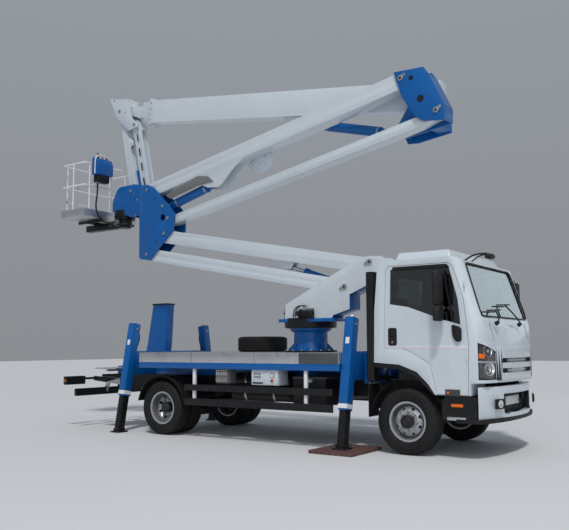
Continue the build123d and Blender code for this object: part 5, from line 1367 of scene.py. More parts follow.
@dataclass
class Console:
    """The basket's control console: blue hood, black valve box, sticks, stop button and guard bar."""

    x: float = -7.015
    y: float = -0.16
    low: float = 4.697

    def build(self) -> None:
        """Build the console."""
        piece = Piece("control_console", "basket_body", Finish.BLUE)
        hood = [(-7.104, 4.845), (-6.926, 4.845), (-6.926, 5.07), (-6.965, 5.18), (-7.104, 5.208)]
        piece.plate([at(x, self.y - 0.205, z) for x, z in hood], by(0, 0.41, 0), 0.018)
        piece.box(at(self.x, self.y - 0.02, self.low + 0.078), (0.15, 0.29, 0.15), 0.012, Finish.PLASTIC)
        for step in range(5):
            piece.box(
                at(self.x + 0.077, self.y - 0.12 + step * 0.05, self.low + 0.078), (0.006, 0.012, 0.1), 0.002,
                Finish.PLASTIC)
        piece.rod(
            at(-7.0, -0.29, self.low - 0.002), at(-7.0, -0.29, self.low + 0.02), 0.036, 24, Finish.PLASTIC,
            chamfer=0.003)
        piece.box(at(-7.1055, self.y, (4.875 + 5.17) / 2), (0.005, 0.34, 0.27), 0.002, Finish.GREY)
        for row in range(2):
            for step in range(6):
                spot = at(-7.108, self.y - 0.13 + step * 0.052, 4.93 + row * 0.09)
                piece.rod(spot, spot - by(0.004, 0, 0), 0.01, 16, Finish.STEEL, chamfer=0.001)
                piece.rod(
                    spot, spot + by(-0.018, 0, 0.006 if (row + step) % 2 else -0.006), 0.0038, 8, Finish.PLASTIC,
                    tip=0.0048)
        for y in (-0.11, 0.11):
            root = at(-7.035, self.y + y, 5.196)
            piece.lathe(root, UP, [
                (POLE, -0.01), (0.036, -0.006), (0.034, 0.004), (0.029, 0.007), (0.03, 0.011), (0.023, 0.015),
                (0.024, 0.019), (0.016, 0.024), (0.008, 0.03), (POLE, 0.03)], 28, Finish.SEAL)
            piece.rod(root, root + UP * 0.085, 0.006, 12, Finish.STEEL)
            piece.lathe(root + UP * 0.085, UP, [
                (POLE, -0.012), (0.01, -0.012), (0.017, 0.0), (0.017, 0.01), (0.011, 0.018),
                (POLE, 0.02)], 24, Finish.PLASTIC)
        stop = at(-7.03, self.y, 5.193)
        piece.rod(stop, stop + by(0, 0, 0.012), 0.027, 24, Finish.AMBER, chamfer=0.002)
        piece.lathe(stop + by(0, 0, 0.012), UP, [
            (POLE, 0.0), (0.012, 0.0), (0.012, 0.008), (0.021, 0.012), (0.021, 0.019), (0.012, 0.025),
            (POLE, 0.026)], 24, Finish.RED)
        guard = 0.225
        hoop = ((-guard, 4.86), (-guard, 5.26), (guard, 5.26), (guard, 4.86))
        piece.pipe([at(-6.98, self.y + y, z) for y, z in hoop], 0.011, 12, Finish.RAIL)
        for z in (4.93, 5.06):
            for hand in (1, -1):
                piece.bolt(at(-6.98, self.y + hand * (guard - 0.018), z), by(0, hand, 0), 0.016)
        piece.done("console")


@dataclass
class PinCaps:
    """Keeper plates, cap discs, dark discs painted as the shade in holes, and a dark plate painted as the shade of a
    recess, on the arms' plates.
    """

    near: float = -0.366
    # Side place of the dark plate that is painted as the shade of a recess on the upper arm.
    painted_recess_y: float = -0.341
    jib_near: float = 0.024

    @staticmethod
    def outward(y: float) -> Vector:
        """Tell which way a plate at this place faces, away from the arm's middle."""
        return by(0, -1.0 if y < ARM_MIDDLE else 1.0, 0)

    def keeper(self, piece: Piece, x: float, z: float, y: float, tail: float, radius: float = 0.044) -> None:
        """Add a keeper: a disc with a tapered tail held by a bolt.

        Args:
            piece: The piece.
            x: Pin's place along the truck.
            z: Pin's height.
            y: Face that it lies on.
            tail: Angle of its tail from forwards, upwards.
            radius: Radius of the disc.
        """
        out = self.outward(y)
        middle = at(x, y, z)
        way = by(cos(tail), 0, sin(tail))
        cross = by(-way.z, 0, way.x)
        piece.rod(middle, middle + out * 0.009, radius, 28, chamfer=0.0015)
        end = middle + way * radius * 2.1
        root, tip = cross * radius * 0.92, cross * radius * 0.35
        piece.plate([middle + root, middle - root, end - tip, end + tip], out * 0.008, 0.0015)
        piece.bolt(middle + way * radius * 1.6 + out * 0.008, out, 0.019)
        piece.rod(middle + out * 0.009, middle + out * 0.0105, radius * 0.42, 20, Finish.SEAL)
        piece.lathe(middle + out * 0.009, out, [
            (radius * 0.42, 0.0), (radius * 0.42, 0.004), (radius * 0.56, 0.004), (radius * 0.6, 0.0)], 24)

    def cap(self, piece: Piece, x: float, z: float, y: float, radius: float = 0.03) -> None:
        """Add a flat pin cap with a bolt in its middle."""
        out = self.outward(y)
        piece.rod(at(x, y, z), at(x, y, z) + out * 0.007, radius, 24, chamfer=0.0015)
        piece.bolt(at(x, y, z) + out * 0.007, out, radius * 0.62, False)

    def painted_hole_shade(self, piece: Piece, x: float, z: float, y: float, radius: float) -> None:
        """Add a dark disc with a thin lip, painted shade that stands for the inside of a round hole."""
        out = self.outward(y)
        piece.rod(at(x, y, z) - out * 0.004, at(x, y, z) + out * 0.0008, radius, 28, Finish.SEAL)

    def build(self) -> None:
        """Build the caps of every body."""
        turret = Piece("turret_keepers", "turret_body", Finish.STEEL)
        self.keeper(turret, -0.866, 2.67, self.near, radians(-160))
        self.keeper(turret, -1.302, 2.318, self.near, radians(-160))
        for x, z in ((-0.866, 2.67), (-1.302, 2.318)):
            turret.rod(at(x, -0.024, z), at(x, -0.016, z), 0.042, 24, chamfer=0.0015)
        turret.done()
        rear = Piece("rear_knuckle_caps", "knuckle_1_body", Finish.STEEL)
        for x, z in ((-5.545, 4.345), (-5.133, 3.996), (-4.998, 3.755), (-5.086, 3.482), (-5.522, 3.13)):
            self.cap(rear, x, z, self.near, 0.032)
            rear.rod(at(x, -0.024, z), at(x, -0.017, z), 0.032, 24, chamfer=0.0015)
        for x, z, r in ((-5.346, 4.153, 0.02), (-5.281, 3.341, 0.018), (-5.64, 4.2, 0.012), (-5.64, 3.25, 0.012)):
            self.painted_hole_shade(rear, x, z, self.near + 0.006, r)
        rear.done()
        # A dark grey arch on the upper arm's near side: painted shade that stands in for the shade in a recess of the
        # arm's belly.
        cover = Piece("upper_arm_painted_recess_shade", "upper_arm_body", Finish.BLOCK)
        arch = [
            (-5.075, 4.183), (-4.735, 4.316), (-4.315, 4.443), (-4.08, 4.411), (-3.935, 4.302), (-4.3, 4.262),
            (-4.955, 4.105)]
        cover.plate([at(x, self.painted_recess_y, z) for x, z in arch], by(0, 0.006, 0), 0.002)
        cover.done()
        front = Piece("front_knuckle_keepers", "knuckle_2_body", Finish.STEEL)
        self.keeper(front, -0.3, 5.375, self.near, radians(35))
        self.keeper(front, 0.247, 4.785, self.near, radians(35))
        self.painted_hole_shade(front, -0.131, 5.345, self.near + 0.006, 0.037)
        self.painted_hole_shade(front, 0.01, 5.001, self.near + 0.006, 0.055)
        for x, z in ((0.01, 5.001), (-0.46, 4.66)):
            front.rod(at(x, 0.346, z), at(x, 0.354, z), 0.046, 28, chamfer=0.002)
            front.bolt(at(x, 0.354, z), LEFT, 0.028)
        front.done()
        # These dark strips are painted shade: they stand for the darkness inside the jib link's slots.
        slots = Piece("jib_link_painted_slot_shade", "jib_link_body", Finish.SEAL)
        top, low = at(-6.33, 0, 5.84), at(-5.96, 0, 4.15)
        run = (low - top).normalized()
        turn = turned(atan2(run.x, run.z))
        for part in (0.16, 0.34, 0.52, 0.7, 0.86):
            slots.box(top.lerp(low, part) + by(0, 0.0695, 0), (0.03, 0.003, 0.16), 0.001, turn=turn)
        slots.done()
        head = Piece("head_caps", "head_body", Finish.STEEL)
        for x, z in ((-6.76, 6.19), (-6.33, 5.84)):
            for y in (self.jib_near, 0.316):
                self.cap(head, x, z, y, 0.034)
        for x, z, r in ((-6.605, 6.13, 0.014), (-6.92, 6.44, 0.016), (-6.5, 6.37, 0.01)):
            self.painted_hole_shade(head, x, z, 0.029, r)
        head.done()
        tail = Piece("jib_end_caps", "jib_end_body", Finish.STEEL)
        for x, z in ((-6.39, 4.5), (-5.96, 4.15)):
            for y in (self.jib_near, 0.316):
                self.cap(tail, x, z, y, 0.034)
        self.cap(tail, -6.2, 4.3, 0.029, 0.024)
        for x, z in ((-6.307, 4.431), (-6.242, 3.996)):
            tail.bolt(at(x, 0.029, z), by(0, -1, 0), 0.02)
        tail.done()


@dataclass
class CylinderSleeves:
    """Painted guard tubes over the two large cylinders' barrels."""

    radius: float = 0.082
    inner: float = 0.0585

    def build(self) -> None:
        """Build a tube on each barrel."""
        rows = (
            ("upper_cylinder_body", (-5.133, 3.996), (-3.962, 4.302), -0.195, 0.2, 0.985),
            ("boom_cylinder_body", (-0.46, 4.66), (-2.534, 5.226), 0.17, 0.45, 1.52),
        )
        for body, base, eye, y, start, stop in rows:
            axis = by(eye[0] - base[0], 0.0, eye[1] - base[1])
            piece = Piece(body.replace("_body", "_sleeve"), body, Finish.BLUE)
            r, lip = self.radius, 0.006
            piece.lathe(at(base[0], y, base[1]), axis, [
                (self.inner, start), (r - lip, start), (r, start + lip), (r, stop - lip), (r - lip, stop),
                (self.inner, stop)], 36)
            for s in (start + 0.05, stop - 0.05):
                piece.lathe(at(base[0], y, base[1]), axis, [
                    (r - 0.002, s - 0.012), (r + 0.003, s - 0.012), (r + 0.003, s + 0.012),
                    (r - 0.002, s + 0.012)], 36, Finish.STEEL)
            piece.done()


@dataclass
class BoomFittings:
    """Bolts and wear pads at the boom's mouth, and the line clips along its far side."""

    pin: Pair = (0.01, 5.001)
    along: Pair = (-9.895, 1.444)
    middle: float = ARM_MIDDLE
    half: float = 0.13

    def spot(self, s: float, y: float, h: float) -> Vector:
        """Give a point at a distance along the boom, at a side place and a height over its pin line."""
        run = hypot(*self.along)
        ux, uz = self.along[0] / run, self.along[1] / run
        return at(self.pin[0] + s * ux + h * uz, y, self.pin[1] + s * uz - h * ux)

    def build(self) -> None:
        """Build the fittings on the outer box."""
        outer = Piece("boom_mouth", "boom_outer_body", Finish.STEEL)
        start = self.spot(0, 0, 0)
        ahead, up = ((self.spot(s, 0, h) - start).normalized() for s, h in ((1, 0), (0, 1)))
        turn = frame_of(ahead, LEFT, up)
        for hand in (-1, 1):
            face = self.middle + hand * (self.half + 0.015)
            for h in (0.0, 0.11, 0.22, 0.33):
                outer.bolt(self.spot(5.98, face, h), by(0, hand, 0), 0.019)
            for h in (0.03, 0.3):
                outer.box(self.spot(6.034, self.middle + hand * 0.12, h), (0.012, 0.03, 0.1), 0.002, Finish.SEAL, turn)
        for y in (-0.07, 0.07):
            for h in (-0.092, 0.416):
                outer.bolt(self.spot(5.98, self.middle + y, h - 0.002), up * (1 if h > 0 else -1), 0.019)
            outer.box(self.spot(6.034, self.middle + y, 0.362), (0.012, 0.06, 0.014), 0.002, Finish.SEAL, turn)
        far = self.middle + self.half
        for s in (0.5, 1.3, 2.1, 2.9, 3.7, 4.5, 5.3):
            outer.box(self.spot(s, far + 0.008, 0.2), (0.03, 0.02, 0.12), 0.003, Finish.PLASTIC, turn)
        for h in (0.165, 0.2, 0.235):
            outer.rod(self.spot(0.3, far + 0.012, h), self.spot(5.6, far + 0.012, h), 0.009, 12, Finish.HOSE)
        outer.box(self.spot(2.9, self.middle, 0.386), (3.6, 0.05, 0.004), 0.001, Finish.GREY, turn)
        outer.done()


@dataclass
class DeckFittings:
    """Hold-down bolts, hinges, the darker front boards and the bands on the legs."""

    half: float = 1.15
    low: float = 1.175
    top: float = 1.333

    def build(self) -> None:
        """Build the deck's and the legs' fittings."""
        piece = Piece("deck_fittings", "chassis", Finish.STEEL)
        for hand in (-1, 1):
            out = by(0, hand, 0)
            face = hand * self.half
            piece.box(
                at(-1.285, face + hand * 0.002, (self.low + self.top) / 2 - 0.002),
                (0.66, 0.006, self.top - self.low - 0.006), 0.002, Finish.GREYBOARD)
            for x in (-4.8, -4.05, -3.3, -2.55, -1.8, -1.66):
                for z in (1.3, 1.205):
                    piece.bolt(at(x, face, z), out, 0.015)
            for x in (-3.68, -2.42):
                piece.box(at(x, face + hand * 0.001, 1.254), (0.003, 0.003, 0.155), 0.0, Finish.SEAL)
            for x in (-4.42, -3.0, -1.98):
                piece.box(at(x, face + hand * 0.008, 1.312), (0.07, 0.014, 0.03), 0.003)
                piece.rod(at(x - 0.03, face + hand * 0.016, 1.298), at(x + 0.03, face + hand * 0.016, 1.298), 0.005, 10)
        for x, low in ((-0.87, 0.53), (-5.23, 0.58)):
            for hand in (-1, 1):
                self.leg(piece, x, hand, low)
        piece.done()

    def leg(self, piece: Piece, x: float, hand: int, low: float) -> None:
        """Add a leg housing's band, cap, hose elbow and side bolts.

        Args:
            piece: The piece.
            x: Place of the leg.
            hand: Its side.
            low: Height of the housing's lower end.
        """
        lean = (1.22 - 0.9) / 1.82
        down = by(0, hand * lean, -1).normalized()
        out = by(0, hand, lean).normalized()
        turn = frame_of(AHEAD, out, -down)
        foot = at(x, hand * (0.9 + (1.82 - low) * lean), low)
        band = foot - down * 0.075
        wide, deep, tall = 0.136, 0.158, 0.062
        for way, size, reach in ((out, (wide + 0.004, 0.002, tall), deep / 2), (
            AHEAD, (0.002, deep + 0.004, tall), wide / 2)):
            for sign in (-1, 1):
                piece.box(band + way * sign * (reach + 0.0005), size, 0.0, Finish.BAND, turn)
        head = at(x, hand * 0.9, 1.82)
        piece.box(head + down * -0.004, (wide - 0.02, deep - 0.02, 0.012), 0.003, Finish.BLUE, turn)
        piece.rod(head - down * 0.008, head - down * 0.032, 0.03, 6, chamfer=0.003)
        for sign in (-1, 1):
            inside, outside = (head + down * 0.09 + AHEAD * sign * reach for reach in (wide / 2, wide / 2 + 0.012))
            piece.rod(inside, outside, 0.022, 20, Finish.STEEL, chamfer=0.002)
            piece.bolt(outside, AHEAD * sign, 0.02, False)
        inner = head + down * 0.16 - out * (deep / 2)
        piece.rod(inner, inner - out * 0.03, 0.013, 6, Finish.STEEL)
        line = ((0.03, 0.0), (0.07, 0.0), (0.08, 0.1), (0.03, 0.3), (0.012, 0.44))
        piece.pipe([inner - out * back + down * drop for back, drop in line], 0.009, 10, Finish.HOSE)
        piece.box(head + down * 0.33 + out * (deep / 2 + 0.001), (0.06, 0.002, 0.09), 0.0, Finish.BAND, turn)


@dataclass
class SlewFittings:
    """Slewing ring's bolts, its drive, and the hoses and rotary union in the turret's window."""

    x: float = -2.15
    ring: float = 0.4
    teeth: int = 72
    flange_top: float = 1.705

    def build(self) -> None:
        """Build the fixed and the turning fittings."""
        fixed = Piece("slew_ring_bolts", "chassis", Finish.STEEL)
        for c, s in around(30, 0.5):
            fixed.bolt(at(self.x, 0, self.flange_top + 0.002) + by(c, s, 0) * 0.354, UP, 0.022, False)
        for step, (c, s) in enumerate(around(self.teeth)):
            turn = turned(tau * step / self.teeth, "Z")
            fixed.box(at(self.x, 0, 1.762) + by(c, s, 0) * self.ring, (0.012, 0.014, 0.05), 0.002, Finish.HUB, turn, 1)
        for c, s in around(16, 0.5):
            fixed.bolt(at(self.x, 0, 1.358) + by(c, s, 0) * 0.395, UP, 0.026)
        fixed.done()
        moving = Piece("slew_drive", "turret_body", Finish.BLACK)
        drive = at(-2.458, -0.2, 0)
        moving.knob(drive, UP, [
            (0.056, 1.857), (0.059, 1.862), (0.059, 1.9), (0.05, 1.905), (0.05, 1.985), (0.055, 1.99), (0.055, 2.01),
            (0.045, 2.02), (0.045, 2.075), (0.038, 2.083)], 36)
        for c, s in around(8):
            moving.bolt(drive + by(0.053 * c, 0.053 * s, 1.9), UP, 0.009, False)
        moving.box(drive + by(0.0, -0.055, 1.95), (0.05, 0.04, 0.06), 0.005, Finish.BLOCK)
        for shift in (-0.014, 0.014):
            start = drive + by(shift, -0.075, 1.955)
            moving.rod(start, start + by(0, -0.018, 0), 0.01, 6, Finish.STEEL)
            line = ((0, -0.016, 0), (0.02, -0.05, 0.0), (0.12, -0.05, -0.02), (0.16 + shift, -0.02, -0.1))
            moving.pipe([start + Vector(step) for step in line], 0.0085, 10, Finish.HOSE)
        moving.lathe(at(self.x, 0, 0), UP, [
            (0.408, 1.728), (0.418, 1.724), (0.42, 1.73), (0.42, 1.862), (0.414, 1.868), (0.382, 1.868), (0.382, 1.858),
            (0.408, 1.858)], 72)
        motor = at(-1.865, -0.405, 1.932)
        moving.knob(motor, by(-1, 0, 0), [
            (0.046, 0.0), (0.05, 0.004), (0.05, 0.1), (0.058, 0.104), (0.058, 0.118), (0.052, 0.122), (0.052, 0.19),
            (0.064, 0.195), (0.064, 0.22), (0.05, 0.225), (0.04, 0.27)], 32)
        for c, s in around(6):
            moving.bolt(motor + by(-0.104, 0.05 * c, 0.05 * s), AHEAD, 0.009, False)
        moving.box(motor + by(-0.13, 0.0, 0.062), (0.07, 0.05, 0.03), 0.004, Finish.BLOCK)
        for shift in (-0.018, 0.018):
            spot = motor + by(-0.13 + shift, 0, 0.074)
            moving.rod(spot, spot + UP * 0.016, 0.009, 6, Finish.STEEL)
            line = ((0, 0, 0.014), (0, 0, 0.05), (-0.1, 0.0, 0.05), (-0.19, 0.02, 0.01), (-0.22, 0.02, -0.12))
            moving.pipe([spot + Vector(step) for step in line], 0.008, 10, Finish.HOSE)
        moving.box(at(-1.96, -0.375, 1.868), (0.24, 0.06, 0.016), 0.003, Finish.BLACK)
        block = at(-1.69, -0.21, 1.895)
        moving.box(block, (0.14, 0.16, 0.078), 0.008, Finish.BLOCK)
        for step in range(5):
            y = -0.272 + step * 0.031
            top = 1.955 + 0.006 * (step % 3)
            moving.rod(at(-1.775, y, 1.895), at(-1.757, y, 1.895), 0.01, 6, Finish.STEEL)
            moving.pipe([
                at(-1.775, y, 1.895), at(-1.83, y, 1.9), at(-1.93, y - 0.01, top), at(-2.03, y, top),
                at(-2.085 - 0.01 * step, y, 1.92), at(-2.09 - 0.01 * step, y, 1.855)], 0.0095, 10, Finish.HOSE)
        moving.done()


@dataclass
class ControlPanels:
    """Knobs, gauge and lid on the ground control cabinet, and the levers of the valve bank."""

    face: float = -1.12
    knob: float = 0.013

    def build(self) -> None:
        """Build the panel and the bank."""
        piece = Piece("ground_controls", "chassis", Finish.PLASTIC)
        out = by(0, -1, 0)
        piece.box(at(-2.245, self.face - 0.001, 0.967), (0.47, 0.004, 0.205), 0.002, Finish.WHITE)
        knob = self.knob
        for x, z in ((-2.42, 1.02), (-2.375, 1.02), (-2.33, 1.02), (-2.42, 0.975), (-2.33, 0.975), (-2.375, 0.975)):
            spot = at(x, self.face - 0.003, z)
            piece.rod(spot, spot + out * 0.006, knob, 18, Finish.STEEL, chamfer=0.001)
            piece.rod(spot, spot + out * 0.022, knob * 0.72, 18, tip=knob * 0.6, chamfer=0.002)
        gauge = at(-2.1, self.face - 0.003, 1.0)
        piece.knob(gauge, out, [(0.033, 0.0), (0.034, 0.012), (0.03, 0.014), (0.029, 0.008)], 32)
        piece.rod(gauge + out * 0.0085, gauge + out * 0.01, 0.0285, 28, Finish.BAND)
        piece.box(gauge + out * 0.0105 + by(0.006, 0, 0.008), (0.022, 0.001, 0.002), 0.0, turn=turned(-0.9))
        stop = at(-2.1, self.face - 0.003, 0.92)
        piece.rod(stop, stop + out * 0.012, 0.02, 20, Finish.AMBER)
        piece.lathe(stop + out * 0.012, out, [
            (POLE, 0.0), (0.01, 0.0), (0.01, 0.008), (0.018, 0.01), (0.018, 0.018), (POLE, 0.022)], 20, Finish.RED)
        piece.box(at(-2.37, self.face - 0.004, 0.885), (0.19, 0.008, 0.022), 0.003)
        for x in (-2.465, -2.025):
            for z in (0.875, 1.06):
                piece.bolt(at(x, self.face - 0.003, z), out, 0.01, False)
        for step in range(6):
            x = -3.165 + step * 0.038
            piece.box(at(x, -1.115, 0.955), (0.032, 0.03, 0.15), 0.003, Finish.BLOCK)
            piece.rod(at(x, -1.12, 1.03), at(x, -1.135, 1.045), 0.007, 10, Finish.SEAL)
            piece.rod(at(x, -1.125, 1.03), at(x, -1.142, 1.066), 0.006, 10, Finish.CHROME)
            piece.rod(at(x, -1.132, 1.035), at(x, -1.14, 0.985), 0.008, 12, Finish.CHROME, tip=0.0065, chamfer=0.001)
            piece.box(at(x, -1.131, 0.92), (0.026, 0.004, 0.07), 0.001, Finish.STEEL)
            piece.rod(at(x, -1.1, 0.885), at(x, -1.1, 0.862), 0.009, 6, Finish.STEEL)
            line = ((0.0, -1.1, 0.866), (0.0, -1.1, 0.8), (0.05, -1.06, 0.775), (0.16, -0.9, 0.8), (0.22, -0.78, 0.86))
            piece.pipe([at(x + along, y, z) for along, y, z in line], 0.008, 8, Finish.HOSE)
        piece.done()


@dataclass
class CabDetails:
    """Wheel-arch flares, flaps, steps, grille bars, panel seams, rain visors and reflectors."""

    side: float = CAB_HALF

    def build(self) -> None:
        """Build the cab's and the chassis's pieces."""
        cab = Piece("cab_lower_trim", "cab", Finish.PLASTIC)
        edge = [(-0.455, 1.206), (-0.083, 1.18), (0.169, 1.088), (0.33, 0.931), (0.417, 0.803), (0.885, 0.803)]
        inner = [(0.885, 0.789), (0.388, 0.789), (0.288, 0.895), (0.13, 1.03), (-0.1, 1.112), (-0.455, 1.14)]
        for hand in (-1, 1):
            cab.plate([at(x, hand * 1.034, z) for x, z in edge + inner], by(0, -hand * 0.05, 0), 0.006)
            for x, z in ((-0.4, 1.165), (-0.06, 1.13), (0.215, 1.0), (0.352, 0.845)):
                cab.rod(at(x, hand * 1.033, z), at(x, hand * 1.036, z), 0.008, 12, Finish.SEAL)
        for z in (1.105, 1.235):
            for shift in (-0.016, 0.016):
                cab.box(at(1.163, 0, z + shift), (0.012, 1.12, 0.007), 0.002)
            for step in range(11):
                cab.box(at(1.16, -0.5 + step * 0.1, z), (0.01, 0.006, 0.05), 0.001)
        for hand in (-1, 1):
            seam = ((1.1135, 0.715, 1.425), (1.1125, 0.716, 1.49), (1.0855, 0.725, 1.597), (1.0512, 0.735, 1.722))
            cab.pipe([at(x, hand * y, z) for x, y, z in seam], 0.0028, 6, Finish.SEAL)
        cab.done()
        for side, hand in (("right", -1), ("left", 1)):
            door = Piece(f"rain_visor_{side}", f"door_{side}_body", Finish.PLASTIC)
            door.plate([
                at(x, hand * (self.side + 0.002), z)
                for x, z in (
                    (-0.15, 2.44), (-0.15, 2.482), (0.62, 2.482), (0.665, 2.44),
                    (0.63, 2.43))], by(0, hand * 0.012, 0), 0.004)
            for z in (1.25, 2.2):
                low, high = (at(0.86, hand * (self.side + 0.004), z + half) for half in (-0.05, 0.05))
                door.rod(low, high, 0.009, 12, Finish.WHITE, chamfer=0.002)
            door.done()
        low = Piece("steps_and_flaps", "chassis", Finish.PLASTIC)
        for hand in (-1, 1):
            low.box(at(0.711, hand * 1.036, 0.673), (0.158, 0.008, 0.038), 0.003, Finish.AMBER)
            low.box(at(0.7, hand * 0.99, 0.52), (0.25, 0.11, 0.014), 0.004, Finish.PLATE)
            low.box(at(0.7, hand * 1.038, 0.505), (0.25, 0.012, 0.035), 0.003, Finish.ALU)
            for step in range(9):
                low.box(at(0.6 + step * 0.025, hand * 0.995, 0.529), (0.006, 0.09, 0.005), 0.001, Finish.ALU)
            low.box(at(-0.552, hand * 0.885, 0.71), (0.012, 0.29, 0.48), 0.004)
            low.box(at(-0.544, hand * 0.885, 0.925), (0.006, 0.27, 0.03), 0.002, Finish.STEEL)
            for y in (0.78, 0.885, 0.99):
                low.bolt(at(-0.541, hand * y, 0.925), AHEAD, 0.014, False)
        low.done()


@dataclass
class Interior:
    """Cab interior: dashboard, binnacle, steering wheel, engine cover and the two seats."""

    seat_y: float = 0.745
    swell: float = 0.014

    def build(self) -> None:
        """Build the hard pieces, then the pads of the seats."""
        piece = Piece("dashboard_and_wheel", "cab", Finish.PLASTIC)
        piece.box(at(0.1, 0, 1.345), (0.88, 1.07, 0.165), 0.05, segments=3)
        dash = [(0.545, 1.265), (0.955, 1.265), (0.985, 1.55), (0.895, 1.655), (0.655, 1.56)]
        piece.plate([at(x, -0.965, z) for x, z in dash], by(0, 1.93, 0), 0.03)
        piece.box(at(0.735, 0.56, 1.655), (0.16, 0.4, 0.075), 0.03, Finish.GREY, turned(0.25), 3)
        piece.box(at(0.69, 0.0, 1.5), (0.05, 0.34, 0.14), 0.015, Finish.GREY, turned(0.9))
        for y in (-0.75, -0.25, 0.25, 0.83):
            piece.box(at(0.7, y, 1.575), (0.02, 0.11, 0.045), 0.006, Finish.SEAL, turned(0.4))
        hub = at(0.48, 0.56, 1.652)
        axis = by(-0.44, 0, 0.9).normalized()
        piece.lathe(hub, axis, [(0.2125 + 0.0135 * c, 0.0135 * s) for c, s in around(10)], 48, Finish.SEAL)
        piece.lathe(hub, axis, [(POLE, -0.03), (0.045, -0.03), (0.05, 0.0), (0.03, 0.01), (POLE, 0.012)], 28)
        across = axis.cross(LEFT).normalized()
        for way in (LEFT, -LEFT, across if across.z < 0 else -across):
            piece.rod(hub + way * 0.03 - axis * 0.01, hub + way * 0.208, 0.013, 10, tip=0.01)
        piece.rod(hub - axis * 0.02, at(0.64, 0.56, 1.5), 0.035, 20, tip=0.045)
        piece.rod(at(0.25, 0.12, 1.42), at(0.22, 0.12, 1.62), 0.01, 12)
        piece.lathe(at(0.22, 0.12, 1.62), UP, [
            (POLE, -0.02), (0.016, -0.018), (0.024, 0.0), (0.02, 0.018), (POLE, 0.026)], 20, Finish.SEAL)
        for hand in (1, -1):
            piece.box(at(0.06, hand * self.seat_y, 1.17), (0.44, 0.34, 0.4), 0.02)
            for y in (hand * self.seat_y - 0.06, hand * self.seat_y + 0.06):
                piece.rod(at(-0.272, y, 2.1), at(-0.285, y, 2.2), 0.006, 10, Finish.STEEL)
        piece.done("cab_interior")
        forms = (
            ("seat_cushion", (0.055, 1.425), (0.46, 0.375, 0.085), -0.05),
            ("seat_back", (-0.178, 1.8), (0.105, 0.365, 0.58), -0.13),
            ("head_rest", (-0.285, 2.215), (0.06, 0.225, 0.115), -0.08),
        )
        for kind, (x, z), size, lean in forms:
            soft = self.stuff(kind, size)
            for side, hand in (("left", 1), ("right", -1)):
                self.pad(f"{kind}_{side}", soft, at(x, hand * self.seat_y, z), turned(lean))

    def stuff(self, name: str, size: Point) -> Mesh:
        """Blow up a subdivided block as cloth, with no gravity, and cap how far it may swell.

        Args:
            name: The kind of pad.
            size: The block's lengths.

        Returns:
            The stuffed form about the origin.
        """
        mesh = bmesh.new()
        bmesh.ops.create_cube(mesh, size=1.0, matrix=Matrix.Diagonal((*size, 1.0)))
        bmesh.ops.subdivide_edges(mesh, edges=list(mesh.edges), cuts=13, use_grid_fill=True)
        for _ in range(2):
            bmesh.ops.smooth_vert(
                mesh, verts=list(mesh.verts), factor=0.5, use_axis_x=True, use_axis_y=True, use_axis_z=True)
        mesh.verts.ensure_lookup_table()
        data = bpy.data.meshes.new(name)
        mesh.to_mesh(data)
        made = link(name, data)
        cloth = made.modifiers.new("stuffing", "CLOTH")
        cloth.settings.use_pressure = True
        cloth.settings.uniform_pressure_force = 4.0
        cloth.settings.effector_weights.gravity = 0.0
        for step in range(1, 16):
            bpy.context.scene.frame_set(step)
        blown = made.evaluated_get(bpy.context.evaluated_depsgraph_get())
        for vert, moved in zip(mesh.verts, blown.data.vertices):
            shift = moved.co - vert.co
            vert.co += shift * min(1.0, self.swell / max(shift.length, 1e-6))
        bpy.data.objects.remove(made)
        bpy.context.scene.frame_set(1)
        flat = min(range(3), key=lambda i: size[i])
        long = max(range(3), key=lambda i: size[i])
        for vert in mesh.verts:
            place = abs(vert.co[long]) / size[long]
            vert.co[flat] *= 1 - 0.22 * exp(-((place - 0.27) / 0.022) ** 2)
        return mesh

    def pad(self, name: str, soft: Mesh, middle: Vector, turn: Matrix) -> None:
        """Put one stuffed form on its seat.

        Args:
            name: The piece's name.
            soft: The stuffed form.
            middle: Its middle.
            turn: Its lean.
        """
        piece = Piece(name, "cab", Finish.SEAT)
        piece.mesh.free()
        piece.mesh = soft.copy()
        bmesh.ops.transform(piece.mesh, matrix=Matrix.Translation(middle) @ turn, verts=list(piece.mesh.verts))
        piece.done(smooth=1.4)


